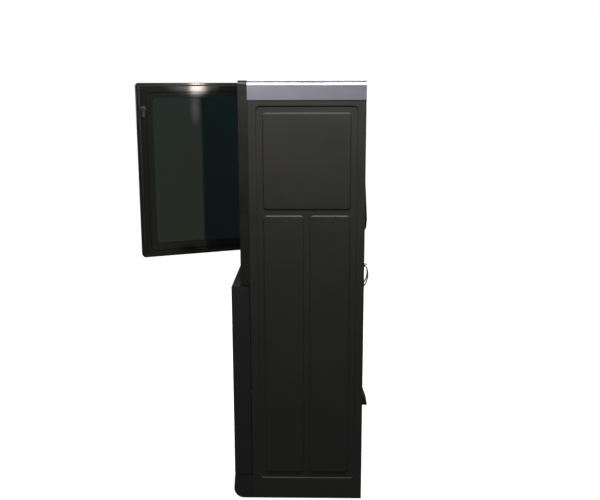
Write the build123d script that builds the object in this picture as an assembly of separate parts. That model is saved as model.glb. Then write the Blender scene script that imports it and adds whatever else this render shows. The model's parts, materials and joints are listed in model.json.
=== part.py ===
"""Free-standing ticket vending machine.

Millimetres. X runs across the machine, the front faces -Y and Z is up. The origin is on the
floor, in the middle of the footprint of the two side panels. The upper door rests open.
"""

import os
from math import cos, radians, sin, tan

from build123d import *

os.makedirs("parts", exist_ok=True)

# ---- Cabinet -------------------------------------------------------------------------------
cabinet_width = 600.0
cabinet_height = 1830.0
side_depth = 483.0  # front to back of a side panel
sheet = 2.0  # folded steel sheet
relief = 4.5  # depth of the pressed grooves in the side panels
door_gap = 2.0  # running gap round both doors
base_height = 100.0
flange_width = 30.0  # folded edges of the side panels
rear_recess = 8.5  # rear panel, inside the back edge of the side panels
panel_floor_gap = 3.0

# ---- Pressed side panel --------------------------------------------------------------------
groove_margin = 31.0  # panel edge to the groove
groove_top_drop = 98.0  # cabinet top to the groove
groove_bottom = 98.0
groove_width = 34.0
groove_wall_angle = 52.0  # away from the pressing direction
cross_groove_height = 1293.5
field_corner = 15.0

# ---- Top, posts and plinth -----------------------------------------------------------------
band_height = 76.0
band_thickness = 3.0
band_roll = 20.0  # outer radius of the rolled top of the band
band_gap = 1.0
roof_thickness = 4.0
post_depth = 38.0
post_width = 20.0
post_wall = 3.0
post_rise = 2.0  # above the roof
counter_height = 979.0  # top of the lower door
mid_rail_height = 43.0
plinth_height = 112.0
plinth_rake = 8.0  # the plinth leans out by this towards the floor
plinth_toe = 45.0

# ---- Upper door ----------------------------------------------------------------------------
rest_angle = 67.4  # how far open it rests
upper_door_depth = 36.0
upper_pivot_inset = 10.0  # pivot from the door's left and front faces
door_corner = 14.0
frame_wall = 4.0
frame_flat = 40.0  # inner face, sides and top
frame_flat_bottom = 28.0
bezel_flat = 30.5  # inner bezel, sides and bottom
bezel_flat_top = 26.0
bezel_depth = 14.0
bezel_sink = 3.0
bezel_gap = 1.5
glass_thickness = 6.0
glass_corner = 22.0
lip_width = 66.0
lock_inset = 28.0  # lock centre from the free edge
lock_drop = 114.0  # lock centre from the door's top
lock_radius = 9.0

# ---- Lower door ----------------------------------------------------------------------------
lower_door_depth = 77.0
lower_pivot_inset = 8.0
door_skin = 2.5
stile = 18.0  # solid hinge stile
door_rise = 4.0  # gap over the plinth and under the posts
front_edge_round = 6.0
bezel_plate = 3.0  # thickness of the fittings' front plates

# ---- Fits ----------------------------------------------------------------------------------
pin_radius = 4.0
pin_play = 0.1
seat_play = 0.05
slide_play = 0.3

# ---- Planes and edges worked out from the sizes above ---------------------------------------
half_width = cabinet_width / 2
panel_thickness = relief + sheet
inner_half = half_width - panel_thickness
panel_back = side_depth / 2
panel_front = -side_depth / 2
flange_back = panel_front + sheet
rear_inner = panel_back - rear_recess - sheet
rear_outer = rear_inner + sheet
post_front = panel_front - post_depth
post_inner = half_width - post_width
roof_under = cabinet_height - roof_thickness
panel_top = cabinet_height - band_roll - band_gap
lower_door_back = panel_front - door_gap
lower_door_front = lower_door_back - lower_door_depth
lower_door_bottom = plinth_height + door_rise
post_bottom = counter_height + door_rise
mid_rail_top = post_bottom + mid_rail_height
upper_door_bottom = mid_rail_top + 1.5 * door_gap
upper_door_top = roof_under - door_gap
upper_door_side = post_inner - door_gap
upper_door_back = post_front + upper_door_depth
upper_pivot = (-upper_door_side + upper_pivot_inset, post_front + upper_pivot_inset)
lower_pivot = (-half_width + lower_pivot_inset, lower_door_back - lower_pivot_inset)


# ---- Sizes of the fittings -----------------------------------------------------------------
bolt_spacing_x = 440.0
bolt_spacing_y = 340.0
bolt_hole_radius = 7.0
cable_hole = (-170.0, 170.0)
cable_hole_radius = 25.0

screw_radius = 2.5
screw_column = inner_half - flange_width / 2
screw_count = 6
screw_first = 160.0
screw_pitch = (panel_top - 2 * screw_first) / (screw_count - 1)
screw_heights = [screw_first + n * screw_pitch for n in range(screw_count)]

hood_half = 140.0
hood_bottom = 1176.0
hood_top = 1448.0
hood_depth = 27.5
louvre_rows = 7
louvre_pitch = 22.0
fan_size = 120.0
fan_depth = 25.0
fan_bore = 56.0
fan_hub = 20.0
fan_height = 1340.0

cable_hood_span = (110.0, 220.0)
cable_hood_rise = (414.0, 509.0)
cable_hood_depth = 35.0
inlet_span = (150.0, 178.0)
inlet_rise = (433.0, 453.0)

hatch_half = 235.0
hatch_bottom = 590.0
hatch_top = 1170.0
hatch_lap = 12.0
hatch_seal_gap = 0.5
hatch_thickness = 2.5
hatch_eye_radius = 4.0
hatch_pin_radius = 2.0
hatch_eye_length = 24.0
hatch_eye_heights = [hatch_bottom + 70.0, hatch_top - 70.0 - hatch_eye_length]
hatch_pivot = (-hatch_half - hatch_eye_radius - 1.0, rear_outer + hatch_eye_radius + 0.5)
pull_place = 195.0
pull_height = 1050.0
pull_length = 95.0
pull_width = 58.0
pull_rose = 16.0
pull_reach = 22.0
pull_lug_spacing = 22.0
pull_pin_radius = 2.5

lock_plug_radius = 5.0

plate_rim = 6.0
cutout_corner = 4.0
control_half = 200.0
control_height = 78.0
control_drop = 60.0
carrier_depth = 26.0
button_count = 4
button_pitch = 90.0
button_radius = 15.0
button_stand = 4.0
button_travel = 3.0
coin_place = (170.0, 190.0)
coin_slot_rise = 26.0
coin_return_drop = 34.0
return_radius = 10.0
return_depth = 12.0
return_travel = 3.0
note_place = (45.0, 178.0)
card_place = (-110.0, 178.0)
tray_border = 16.0
tray_depth = 66.0
tray_floor_rise = 5.0
ticket_tray = (-60.0, 370.0, 180.0, 66.0)
coin_tray = (135.0, 370.0, 100.0, 66.0)
flap_pin_radius = 2.0
flap_side_gap = 1.5
handle_inset = 64.0
handle_drop = 500.0
handle_radius = 6.0
handle_cam_length = 50.0
dish_radius = 44.0
dish_depth = 18.0
slot_rows = 8
slot_start = 60.0
slot_pitch = 16.0
slot_height = 6.0
slot_length = 300.0

middle_shelf_height = 1000.0
monitor_half = 215.0
monitor_front = flange_back + 8.0
monitor_depth = 50.0
monitor_bottom = upper_door_bottom + 56.0
monitor_top = upper_door_top - 60.0
monitor_rim = 16.0
screen_thickness = 8.0
monitor_vents = 12

printer_shelf_height = 600.0
printer_shelf_front = -190.0
printer_span = (-150.0, -20.0)
printer_front = -185.0
printer_depth = 150.0
printer_height = 110.0
platen_radius = 8.0
platen_length = 84.0
roll_radius = 68.0
roll_width = 80.0
spindle_radius = 8.0
hopper_place = (140.0, -90.0)
hopper_size = 150.0
hopper_height = 160.0
hopper_base = 55.0
bowl_radius = 66.0
cash_span = (30.0, 240.0)
cash_front = -190.0
cash_depth = 210.0
cash_height = 180.0
bail_half = 50.0
bail_bar = 3.5
bail_reach = 42.0


# ---- Small helpers -------------------------------------------------------------------------
def block(x0, x1, y0, y1, z0, z1):
    """A box between two corners."""
    middle = Pos((x0 + x1) / 2, (y0 + y1) / 2, (z0 + z1) / 2)
    return middle * Box(x1 - x0, y1 - y0, z1 - z0)


def plate(x0, x1, z0, z1, y0, y1, corner=0.0):
    """An upright plate that faces front and back, with rounded corners."""
    if corner:
        outline = RectangleRounded(x1 - x0, z1 - z0, corner)
    else:
        outline = Rectangle(x1 - x0, z1 - z0)
    plane = Plane(origin=((x0 + x1) / 2, y1, (z0 + z1) / 2), x_dir=(1, 0, 0), z_dir=(0, -1, 0))
    return extrude(plane * outline, amount=y1 - y0)


def rod(radius, start, end):
    """A round bar between two points."""
    line = Vector(*end) - Vector(*start)
    plane = Plane(origin=start, z_dir=line)
    return extrude(plane * Circle(radius), amount=line.length)


def side_profile(points, x0, x1):
    """A prism along X whose outline is given as (y, z) points."""
    plane = Plane(origin=(x0, 0, 0), x_dir=(0, 1, 0), z_dir=(1, 0, 0))
    return extrude(plane * make_face(Polyline(*points, close=True)), amount=x1 - x0)


def save(name, shape):
    export_step(shape, f"parts/{name}.step")


def both_sides(name, shape):
    save(f"{name}_right", shape)
    save(f"{name}_left", mirror(shape, about=Plane.YZ))


def opened(shape):
    """A piece of the upper door, swung from shut to where the door rests."""
    x, y = upper_pivot
    return shape.rotate(Axis((x, y, 0), (0, 0, 1)), -rest_angle)


# ---- Cabinet shell -------------------------------------------------------------------------
def panel_field(y0, y1, z0, z1):
    """Outline of a raised field at the bottom of the grooves, seen from the side."""
    plane = Plane(
        origin=(half_width - relief, (y0 + y1) / 2, (z0 + z1) / 2),
        x_dir=(0, 1, 0),
        z_dir=(1, 0, 0),
    )
    return plane * RectangleRounded(y1 - y0, z1 - z0, field_corner)


def side_panel():
    """Right side: one pressed sheet with a sunken groove round three raised fields."""
    spread = relief * tan(radians(groove_wall_angle))
    y0 = panel_front + groove_margin
    y1 = panel_back - groove_margin
    z0 = groove_bottom
    z1 = cabinet_height - groove_top_drop
    panel = block(inner_half, half_width, panel_front, panel_back, panel_floor_gap, panel_top)
    trench = panel_field(y0 + spread, y1 - spread, z0 + spread, z1 - spread)
    panel -= extrude(trench, amount=relief, taper=-groove_wall_angle)

    inset = groove_width - spread
    split = groove_width / 2 - spread
    low_top = cross_groove_height - split
    fields = [
        (y0 + inset, y1 - inset, cross_groove_height + split, z1 - inset),
        (y0 + inset, -split, z0 + inset, low_top),
        (split, y1 - inset, z0 + inset, low_top),
    ]
    for a, b, low, high in fields:
        panel += extrude(panel_field(a, b, low, high), amount=relief, taper=groove_wall_angle)
    for a, b, low, high in fields:
        panel -= block(
            inner_half,
            half_width - sheet,
            a + 2 * spread,
            b - 2 * spread,
            low + 2 * spread,
            high - 2 * spread,
        )
    flange_inner = inner_half - flange_width
    panel += block(
        flange_inner, inner_half, panel_front, flange_back, base_height, panel_top
    )
    panel += block(
        flange_inner, inner_half, rear_inner - sheet, rear_inner, base_height, panel_top
    )
    for height in screw_heights:
        panel -= rod(
            screw_radius + seat_play,
            (screw_column, rear_inner - 2 * sheet, height),
            (screw_column, rear_inner + sheet, height),
        )
    return panel


def top_band():
    """Right side: bright strip with a rolled top that laps over the roof."""
    roll_x = half_width + band_thickness - band_roll
    roll_z = cabinet_height - band_roll
    low = cabinet_height - band_height
    outer = half_width + band_thickness
    inner_roll = band_roll - band_thickness
    quarter = radians(45)
    with BuildPart() as band:
        with BuildSketch(Plane(origin=(0, panel_back, 0), x_dir=(1, 0, 0), z_dir=(0, -1, 0))):
            with BuildLine():
                Line((half_width, low), (outer, low))
                Line((outer, low), (outer, roll_z))
                ThreePointArc(
                    (outer, roll_z),
                    (roll_x + band_roll * cos(quarter), roll_z + band_roll * sin(quarter)),
                    (roll_x, cabinet_height),
                )
                Line((roll_x, cabinet_height), (roll_x, cabinet_height - band_thickness))
                ThreePointArc(
                    (roll_x, cabinet_height - band_thickness),
                    (roll_x + inner_roll * cos(quarter), roll_z + inner_roll * sin(quarter)),
                    (half_width, roll_z),
                )
                Line((half_width, roll_z), (half_width, low))
            make_face()
        extrude(amount=side_depth)
    return band.part


def roof_panel():
    """Roof sheet between the bands, out over the door, with feet inside the side panels."""
    edge = half_width + band_thickness - band_roll
    foot = panel_top - 3 * sheet
    drip_height = 24.0
    roof = block(-edge, edge, panel_front, panel_back, roof_under, cabinet_height)
    nose = block(-post_inner, post_inner, post_front, panel_front, roof_under, cabinet_height)
    front_edge = nose.edges().filter_by(Axis.X).group_by(Axis.Y)[0].group_by(Axis.Z)[-1]
    roof += fillet(front_edge, roof_thickness - 1.0)
    roof += block(
        -edge, edge, panel_back - sheet, panel_back, roof_under - drip_height, roof_under
    )
    for side in (-1, 1):
        skirt = sorted((side * edge, side * (edge - sheet)))
        roof += block(*skirt, flange_back, rear_inner - sheet, foot, roof_under)
        shoe = sorted((side * (edge - sheet), side * inner_half))
        roof += block(*shoe, flange_back, rear_inner - sheet, foot - sheet, foot)
    roof -= hinge_bore(upper_pivot, roof_under, cabinet_height, seat_play)
    return roof


def hinge_bore(pivot, z0, z1, play):
    return rod(pin_radius + play, (*pivot, z0), (*pivot, z1))


def front_post():
    """Right side: gloss hollow post beside the upper door, open at the back."""
    top = cabinet_height + post_rise
    post = block(post_inner, half_width, post_front, panel_front, post_bottom, top)
    crown = post.edges().filter_by(Axis.Y).group_by(Axis.Z)[-1].group_by(Axis.X)[-1]
    post = fillet(crown, post_width - post_rise)
    front_edges = post.edges().filter_by(Axis.Z).group_by(Axis.Y)[0]
    post = fillet(front_edges, post_wall - 1.0)
    post -= block(
        post_inner + post_wall,
        half_width - post_wall,
        post_front + post_wall,
        panel_front,
        post_bottom + post_wall,
        top - post_width,
    )
    post -= hinge_bore(
        (-lower_pivot[0], lower_pivot[1]), post_bottom, post_bottom + post_wall, seat_play
    )
    return post


def mid_rail():
    """Cross rail between the posts, under the upper door."""
    rail = block(-post_inner, post_inner, post_front, panel_front, post_bottom, mid_rail_top)
    rail -= block(
        -post_inner + post_wall,
        post_inner - post_wall,
        post_front + post_wall,
        panel_front,
        post_bottom + post_wall,
        mid_rail_top - 2 * post_wall,
    )
    rail -= hinge_bore(upper_pivot, post_bottom + post_wall, mid_rail_top, seat_play)
    return rail


def base_pan():
    """Floor tray: flat underside, upstand all round, bolt holes and a cable hole."""
    wall = 3.0
    pan = block(-inner_half, inner_half, panel_front, rear_inner, 0, base_height)
    pan -= block(
        -inner_half + wall, inner_half - wall, panel_front + wall, rear_inner - wall, wall, base_height
    )
    for x in (-bolt_spacing_x / 2, bolt_spacing_x / 2):
        for y in (-bolt_spacing_y / 2, bolt_spacing_y / 2):
            pan -= rod(bolt_hole_radius, (x, y, -wall), (x, y, 2 * wall))
    pan -= rod(cable_hole_radius, (*cable_hole, -wall), (*cable_hole, 2 * wall))
    return pan


def kick_plinth():
    """Front kick plinth: a folded shell that leans out to a rounded toe."""
    wall = 3.0
    front = lower_door_front - plinth_rake
    height = plinth_height - panel_floor_gap

    def solid(inset, toe, back):
        points = [
            (back, panel_floor_gap + inset),
            (front + inset, panel_floor_gap + inset),
            (lower_door_front + inset, panel_floor_gap + height - inset),
            (back, panel_floor_gap + height - inset),
        ]
        shape = side_profile(points, -half_width + inset, half_width - inset)
        corner = shape.edges().filter_by(Axis.X).group_by(Axis.Z)[0].group_by(Axis.Y)[0]
        return fillet(corner, toe)

    plinth = solid(0, plinth_toe, panel_front) - solid(wall, plinth_toe - wall, panel_front)
    plinth -= hinge_bore(
        lower_pivot, plinth_height - 2 * wall, plinth_height + wall, seat_play
    )
    return plinth


def shelf(height, front):
    """A folded shelf from side to side, with a cable notch at the back."""
    lip = 18.0
    notch = 80.0
    notch_depth = 40.0
    tray = block(-inner_half, inner_half, front, rear_inner - sheet, height, height + sheet)
    tray += block(-inner_half, inner_half, front, front + sheet, height - lip, height)
    back = rear_inner - sheet
    tray -= block(-notch, notch, back - notch_depth, back, height - lip, height + sheet)
    return tray


# ---- Rear panel and what is on it ------------------------------------------------------------
def rear_panel():
    panel = block(-inner_half, inner_half, rear_inner, rear_outer, panel_floor_gap, panel_top)
    panel -= plate(
        -hatch_half + hatch_lap,
        hatch_half - hatch_lap,
        hatch_bottom + hatch_lap,
        hatch_top - hatch_lap,
        rear_inner,
        rear_outer,
        field_corner,
    )
    panel -= rod(fan_bore, (0, rear_inner, fan_height), (0, rear_outer, fan_height))
    panel -= block(*inlet_span, rear_inner, rear_outer, *inlet_rise)
    for x, z in screw_places():
        panel -= rod(screw_radius + seat_play, (x, rear_inner, z), (x, rear_outer, z))
    return panel


def screw_places():
    return [(side * screw_column, z) for side in (-1, 1) for z in screw_heights]


def rear_panel_screws():
    """Dome-headed screws that hold the rear panel to the side panels."""
    length = 12.0
    head = 5.0
    screws = []
    for x, z in screw_places():
        shank = rod(screw_radius, (x, rear_outer - length, z), (x, rear_outer, z))
        cap = rod(head, (x, rear_outer, z), (x, rear_outer + head / 2, z))
        rim = cap.edges().filter_by(GeomType.CIRCLE).group_by(Axis.Y)[-1]
        screws.append(shank + fillet(rim, head / 2 - 0.5))
    return Compound(children=screws)


def vent_hood():
    """Pressed air outlet cover over the fan, open underneath, with louvres."""
    wall = 1.5
    slope_top = hood_top - 14.0
    outline = [
        (rear_outer, hood_top),
        (rear_outer + 17.0, slope_top),
        (rear_outer + hood_depth, hood_bottom + 63.0),
        (rear_outer + hood_depth - 3.0, hood_bottom + 28.0),
        (rear_outer + 12.0, hood_bottom),
        (rear_outer, hood_bottom),
    ]
    hood = side_profile(outline, -hood_half, hood_half)
    inner = [
        (rear_outer - 1.0, hood_top - 2 * wall),
        (rear_outer + 17.0 - wall, slope_top - wall),
        (rear_outer + hood_depth - wall, hood_bottom + 63.0),
        (rear_outer + hood_depth - 3.0 - wall, hood_bottom + 28.0 + wall),
        (rear_outer + 12.0 - wall, hood_bottom - 1.0),
        (rear_outer - 1.0, hood_bottom - 1.0),
    ]
    hood -= side_profile(inner, -hood_half + wall, hood_half - wall)
    louvre_length = 2 * hood_half - 60.0
    for row in range(louvre_rows):
        z = hood_bottom + 84.0 + row * louvre_pitch
        hood -= block(
            -louvre_length / 2,
            louvre_length / 2,
            rear_outer + 12.0,
            rear_outer + hood_depth + 1.0,
            z,
            z + louvre_pitch / 3,
        )
    return hood


def cable_hood():
    """Small wedge over the mains inlet, open underneath."""
    wall = 2.0
    x0, x1 = cable_hood_span
    low, high = cable_hood_rise
    outer = [(rear_outer, low), (rear_outer + cable_hood_depth, low), (rear_outer, high)]
    inner = [
        (rear_outer - 1.0, low - 1.0),
        (rear_outer + cable_hood_depth - wall, low - 1.0),
        (rear_outer + cable_hood_depth - wall, low + wall),
        (rear_outer - 1.0, high - 3 * wall),
    ]
    return side_profile(outer, x0, x1) - side_profile(inner, x0 + wall, x1 - wall)


def power_inlet():
    """Three-pin appliance inlet in the rear panel, under its hood."""
    x0, x1 = inlet_span
    z0, z1 = inlet_rise
    rim = 4.0
    depth = 30.0
    wall = 3.0
    inlet = block(
        x0 + seat_play,
        x1 - seat_play,
        rear_inner - depth,
        rear_outer,
        z0 + seat_play,
        z1 - seat_play,
    )
    inlet += block(x0 - rim, x1 + rim, rear_outer, rear_outer + 2.0, z0 - rim, z1 + rim)
    socket = plate(
        x0 + wall, x1 - wall, z0 + wall, z1 - wall, rear_inner - depth + wall, rear_outer + 2.0, wall
    )
    inlet -= socket
    middle_x = (x0 + x1) / 2
    middle_z = (z0 + z1) / 2
    blades = [(-7.0, -2.0), (0.0, 3.0), (7.0, -2.0)]
    for x, z in blades:
        inlet += block(
            middle_x + x - 1.0,
            middle_x + x + 1.0,
            rear_inner - depth + wall,
            rear_outer - 12.0,
            middle_z + z - 2.5,
            middle_z + z + 2.5,
        )
    return inlet


def rear_hatch():
    """Service hatch that lies on the rear panel, with a folded edge and hinge eyes."""
    inner = rear_outer + hatch_seal_gap
    outer = inner + hatch_thickness
    hatch = plate(-hatch_half, hatch_half, hatch_bottom, hatch_top, inner, outer, 6.0)
    hatch += plate(
        -hatch_half + 3 * hatch_lap,
        hatch_half - 3 * hatch_lap,
        hatch_bottom + 3 * hatch_lap,
        hatch_top - 3 * hatch_lap,
        rear_inner,
        inner,
        6.0,
    )
    hatch -= plate(
        -hatch_half + 3 * hatch_lap + sheet,
        hatch_half - 3 * hatch_lap - sheet,
        hatch_bottom + 3 * hatch_lap + sheet,
        hatch_top - 3 * hatch_lap - sheet,
        rear_inner,
        inner,
        4.0,
    )
    for z in hatch_eye_heights:
        hatch += hatch_eye(z, z + hatch_eye_length, outer)
    return hatch


def hatch_eye(z0, z1, outer):
    x, y = hatch_pivot
    eye = rod(hatch_eye_radius, (x, y, z0), (x, y, z1))
    eye += block(x, x + 3 * hatch_eye_radius, outer - hatch_thickness, outer, z0, z1)
    return eye - rod(hatch_pin_radius + pin_play, (x, y, z0), (x, y, z1))


def hatch_hinge_pins():
    """Two pins with the fixed leaves that hold them to the rear panel."""
    x, y = hatch_pivot
    pins = []
    for z in hatch_eye_heights:
        low = z - hatch_eye_length
        high = z + 2 * hatch_eye_length
        pin = rod(hatch_pin_radius, (x, y, low), (x, y, high))
        for a, b in ((low, z - 0.5), (z + hatch_eye_length + 0.5, high)):
            pin += rod(hatch_eye_radius, (x, y, a), (x, y, b))
            pin += block(x - 4 * hatch_eye_radius, x, rear_outer, rear_outer + sheet, a, b)
            pin += block(x - hatch_eye_radius, x, rear_outer, y, a, b)
        pins.append(pin)
    return Compound(children=pins)


def hatch_boss():
    """Bright boss on the hatch: a round rose with two lugs that carry the pull."""
    x = pull_place
    outer = rear_outer + hatch_seal_gap + hatch_thickness
    rose = rod(pull_rose, (x, outer, pull_height), (x, outer + 4.0, pull_height))
    rim = rose.edges().filter_by(GeomType.CIRCLE).group_by(Axis.Y)[-1]
    boss = fillet(rim, 2.0)
    for side in (-1, 1):
        middle = x + side * pull_lug_spacing / 2
        lug = block(
            middle - 3.0,
            middle + 3.0,
            outer + 2.0,
            outer + pull_reach,
            pull_height - 7.0,
            pull_height + 7.0,
        )
        nose = lug.edges().filter_by(Axis.X).group_by(Axis.Y)[-1]
        boss += fillet(nose, 6.0)
    y = outer + pull_reach - 7.0
    boss -= rod(
        pull_pin_radius + pin_play,
        (x - pull_lug_spacing, y, pull_height),
        (x + pull_lug_spacing, y, pull_height),
    )
    return boss


def hatch_pull():
    """Bowed drop pull that hangs from the boss by its own cross pin."""
    x = pull_place
    y = rear_outer + hatch_seal_gap + hatch_thickness + pull_reach - 7.0
    half = pull_width / 2
    low = pull_height - pull_length
    bulge = 11.0
    bar = 5.0
    tail = y - 11.0

    def bow(offset):
        start = (y + offset, pull_height + 5.0)
        middle = (y + bulge + offset, pull_height - pull_length * 0.42)
        end = (tail + offset, low)
        return start, middle, end

    with BuildPart() as strap:
        with BuildSketch(Plane(origin=(x - half, 0, 0), x_dir=(0, 1, 0), z_dir=(1, 0, 0))):
            with BuildLine():
                a, b, c = bow(-bar / 2)
                d, e, f = bow(bar / 2)
                ThreePointArc(a, b, c)
                Line(c, f)
                ThreePointArc(f, e, d)
                Line(d, a)
            make_face()
        extrude(amount=pull_width)
    ring = plate(x - half, x + half, low, pull_height + 5.0, tail - 10.0, y + 3 * bulge, 12.0)
    ring -= plate(
        x - half + 7.0, x + half - 7.0, low + 8.0, pull_height - 14.0, tail - 10.0, y + 3 * bulge, 9.0
    )
    notch = pull_lug_spacing / 2
    for side in (-1, 1):
        middle = x + side * notch
        ring -= block(
            middle - 3.6,
            middle + 3.6,
            tail - 10.0,
            y + 3 * bulge,
            pull_height - 12.0,
            pull_height + 6.0,
        )
    pull = strap.part & ring
    pull += rod(
        pull_pin_radius,
        (x - notch - 5.0, y, pull_height),
        (x + notch + 5.0, y, pull_height),
    )
    return pull


# ---- Upper door ----------------------------------------------------------------------------
def upper_hinge_pins():
    """One pin up from the mid rail and one down from the roof."""
    reach = 16.0
    low = rod(
        pin_radius,
        (*upper_pivot, mid_rail_top - 2 * post_wall),
        (*upper_pivot, upper_door_bottom + reach),
    )
    high = rod(pin_radius, (*upper_pivot, upper_door_top - reach), (*upper_pivot, cabinet_height))
    return Compound(children=[low, high])


def lock_place():
    return upper_door_side - lock_inset, upper_door_top - lock_drop


def upper_door_frame():
    """Channel frame of the glass door: front lip, outer wall and inner flat."""
    side = upper_door_side
    low, high = upper_door_bottom, upper_door_top
    front, back = post_front, upper_door_back
    frame = plate(-side, side, low, high, front, back, door_corner)
    frame = fillet(frame.edges().group_by(Axis.Y)[0], upper_pivot_inset - 0.2)
    frame = fillet(frame.edges().group_by(Axis.Y)[-1], 3.0)
    frame -= plate(
        -side + frame_wall,
        side - frame_wall,
        low + frame_wall,
        high - frame_wall,
        front + frame_wall,
        back - frame_wall,
        door_corner - frame_wall,
    )
    frame -= plate(
        -side + lip_width,
        side - lip_width,
        low + lip_width - frame_flat + frame_flat_bottom,
        high - lip_width,
        front,
        front + frame_wall,
        glass_corner,
    )
    frame -= plate(
        -side + frame_flat,
        side - frame_flat,
        low + frame_flat_bottom,
        high - frame_flat,
        back - frame_wall,
        back,
        glass_corner + 3.0,
    )
    block_size = 34.0
    for z0, z1 in ((low + frame_wall, low + block_size), (high - block_size, high - frame_wall)):
        frame += block(
            -side + frame_wall,
            -side + frame_wall + 2 * upper_pivot_inset,
            front + frame_wall,
            back - frame_wall,
            z0,
            z1,
        )
    x, z = lock_place()
    frame -= rod(lock_radius + seat_play, (x, front, z), (x, back, z))
    bore_depth = 20.0
    frame -= hinge_bore(upper_pivot, low, low + bore_depth, pin_play)
    frame -= hinge_bore(upper_pivot, high - bore_depth, high, pin_play)
    return frame


def door_ring(inset, inset_low, inset_high, width, front, back, corner):
    """A rectangular ring in the door; insets are from the door's edges to the ring."""
    side = upper_door_side
    low, high = upper_door_bottom, upper_door_top
    ring = plate(
        -side + inset, side - inset, low + inset_low, high - inset_high, front, back, corner
    )
    ring -= plate(
        -side + inset + width,
        side - inset - width,
        low + inset_low + width,
        high - inset_high - width,
        front,
        back,
        max(corner - width, 2.0),
    )
    return ring


bezel_back = upper_door_back - bezel_sink
glass_back = bezel_back - bezel_depth
glass_front = glass_back - glass_thickness


def glazing_seal():
    """Foam seal between the front lip and the glass."""
    inset = lip_width - 24.0
    drop = frame_flat_bottom - frame_flat
    return door_ring(
        inset, inset + drop, inset, 18.0, post_front + frame_wall, glass_front, glass_corner + 6.0
    )


def door_glass():
    edge = frame_flat + bezel_gap
    drop = frame_flat_bottom - frame_flat
    return plate(
        -upper_door_side + edge,
        upper_door_side - edge,
        upper_door_bottom + edge + drop,
        upper_door_top - edge,
        glass_front,
        glass_back,
        glass_corner,
    )


def door_inner_bezel():
    """Raised ring that clamps the glass, with a hidden flange under the frame's flat."""
    edge = frame_flat + bezel_gap
    drop = frame_flat_bottom - frame_flat
    flange = 4.0
    side = upper_door_side
    low, high = upper_door_bottom, upper_door_top
    ring = plate(
        -side + edge, side - edge, low + edge + drop, high - edge, glass_back, bezel_back, 24.0
    )
    crown = ring.edges().group_by(Axis.Y)[-1]
    ring = fillet(crown, 1.5)
    ring += plate(
        -side + edge - flange,
        side - edge + flange,
        low + edge + drop - flange,
        high - edge + flange,
        upper_door_back - 2 * frame_wall,
        upper_door_back - frame_wall,
        24.0,
    )
    ring -= plate(
        -side + frame_flat + bezel_flat + bezel_gap,
        side - frame_flat - bezel_flat - bezel_gap,
        low + frame_flat_bottom + bezel_flat + bezel_gap,
        high - frame_flat - bezel_flat_top - bezel_gap,
        glass_back,
        bezel_back,
        glass_corner,
    )
    return ring


def door_gasket():
    """Thin rubber strip on the frame's inner face, against the side panels' flanges."""
    return door_ring(8.0, 8.0, 8.0, 7.0, upper_door_back, upper_door_back + 1.2, 8.0)


def upper_lock_body():
    """Cam-lock barrel with its outer rose and the nut inside."""
    x, z = lock_place()
    front, back = post_front, upper_door_back
    body = rod(lock_radius, (x, front, z), (x, back, z))
    rose = rod(lock_radius + 4.0, (x, front - 2.0, z), (x, front, z))
    body += fillet(rose.edges().filter_by(GeomType.CIRCLE).group_by(Axis.Y)[0], 1.0)
    nut = extrude(
        Plane(origin=(x, back, z), z_dir=(0, 1, 0)) * RegularPolygon(lock_radius + 2.5, 6), amount=3.5
    )
    body += nut
    return body - rod(lock_plug_radius + seat_play, (x, front - 3.0, z), (x, back + 4.0, z))


def lock_cam(x, z, front, tip, plug_radius, slot):
    """A turning plug with a keyway and a cam arm that hangs down when unlocked."""
    cam_front = flange_back + 1.0
    cam_back = cam_front + 3.0
    plug = rod(plug_radius, (x, front, z), (x, cam_back, z))
    if slot:
        plug -= block(x - 0.7, x + 0.7, front, front + 4.0, z - 3.5, z + 3.5)
    arm = plate(x - 8.0, x + 8.0, z - tip, z + 8.0, cam_front, cam_back, 7.5)
    nut = rod(plug_radius + 1.5, (x, cam_back, z), (x, cam_back + 3.0, z))
    return plug + arm + nut


# ---- Lower door ----------------------------------------------------------------------------
def lower_hinge_pins():
    """One pin up from the plinth and one down from the left post."""
    reach = 16.0
    wall = 3.0
    low = rod(
        pin_radius, (*lower_pivot, plinth_height - wall), (*lower_pivot, lower_door_bottom + reach)
    )
    high = rod(
        pin_radius, (*lower_pivot, counter_height - reach), (*lower_pivot, post_bottom + post_wall)
    )
    return Compound(children=[low, high])


def lower_door_shell():
    """Deep box door, open at the back, with cut-outs for the fittings."""
    front, back = lower_door_front, lower_door_back
    low, high = lower_door_bottom, counter_height
    door = block(-half_width, half_width, front, back, low, high)
    uprights = door.edges().filter_by(Axis.Z)
    hinge_edge = uprights.group_by(Axis.Y)[-1].group_by(Axis.X)[0]
    door = fillet(hinge_edge, lower_pivot_inset - 0.1)
    door = fillet(door.edges().group_by(Axis.Y)[0], front_edge_round)
    skin = door_skin
    stile_front = back - stile
    door -= block(
        -half_width + skin, half_width - skin, front + skin, stile_front, low + skin, high - skin
    )
    door -= block(
        -half_width + stile, half_width - skin, stile_front, back, low + skin, high - skin
    )
    inside = front + skin
    for x0, x1, z0, z1 in door_cutouts():
        door -= plate(x0, x1, z0, z1, front, inside, cutout_corner)

    x, z = handle_place()
    dish_wall = 2.0
    dish_floor = front + dish_depth
    door += rod(dish_radius + dish_wall, (x, inside, z), (x, dish_floor + dish_wall, z))
    door -= rod(dish_radius, (x, front, z), (x, dish_floor, z))
    door -= rod(handle_radius + pin_play, (x, front, z), (x, back, z))

    for row in range(slot_rows):
        slot_z = low + slot_start + row * slot_pitch
        door -= plate(
            -slot_length / 2, slot_length / 2, slot_z, slot_z + slot_height, front, inside, 2.0
        )
    bore_depth = 18.0
    door -= hinge_bore(lower_pivot, low, low + bore_depth, pin_play)
    door -= hinge_bore(lower_pivot, high - bore_depth, high, pin_play)
    return door


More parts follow.
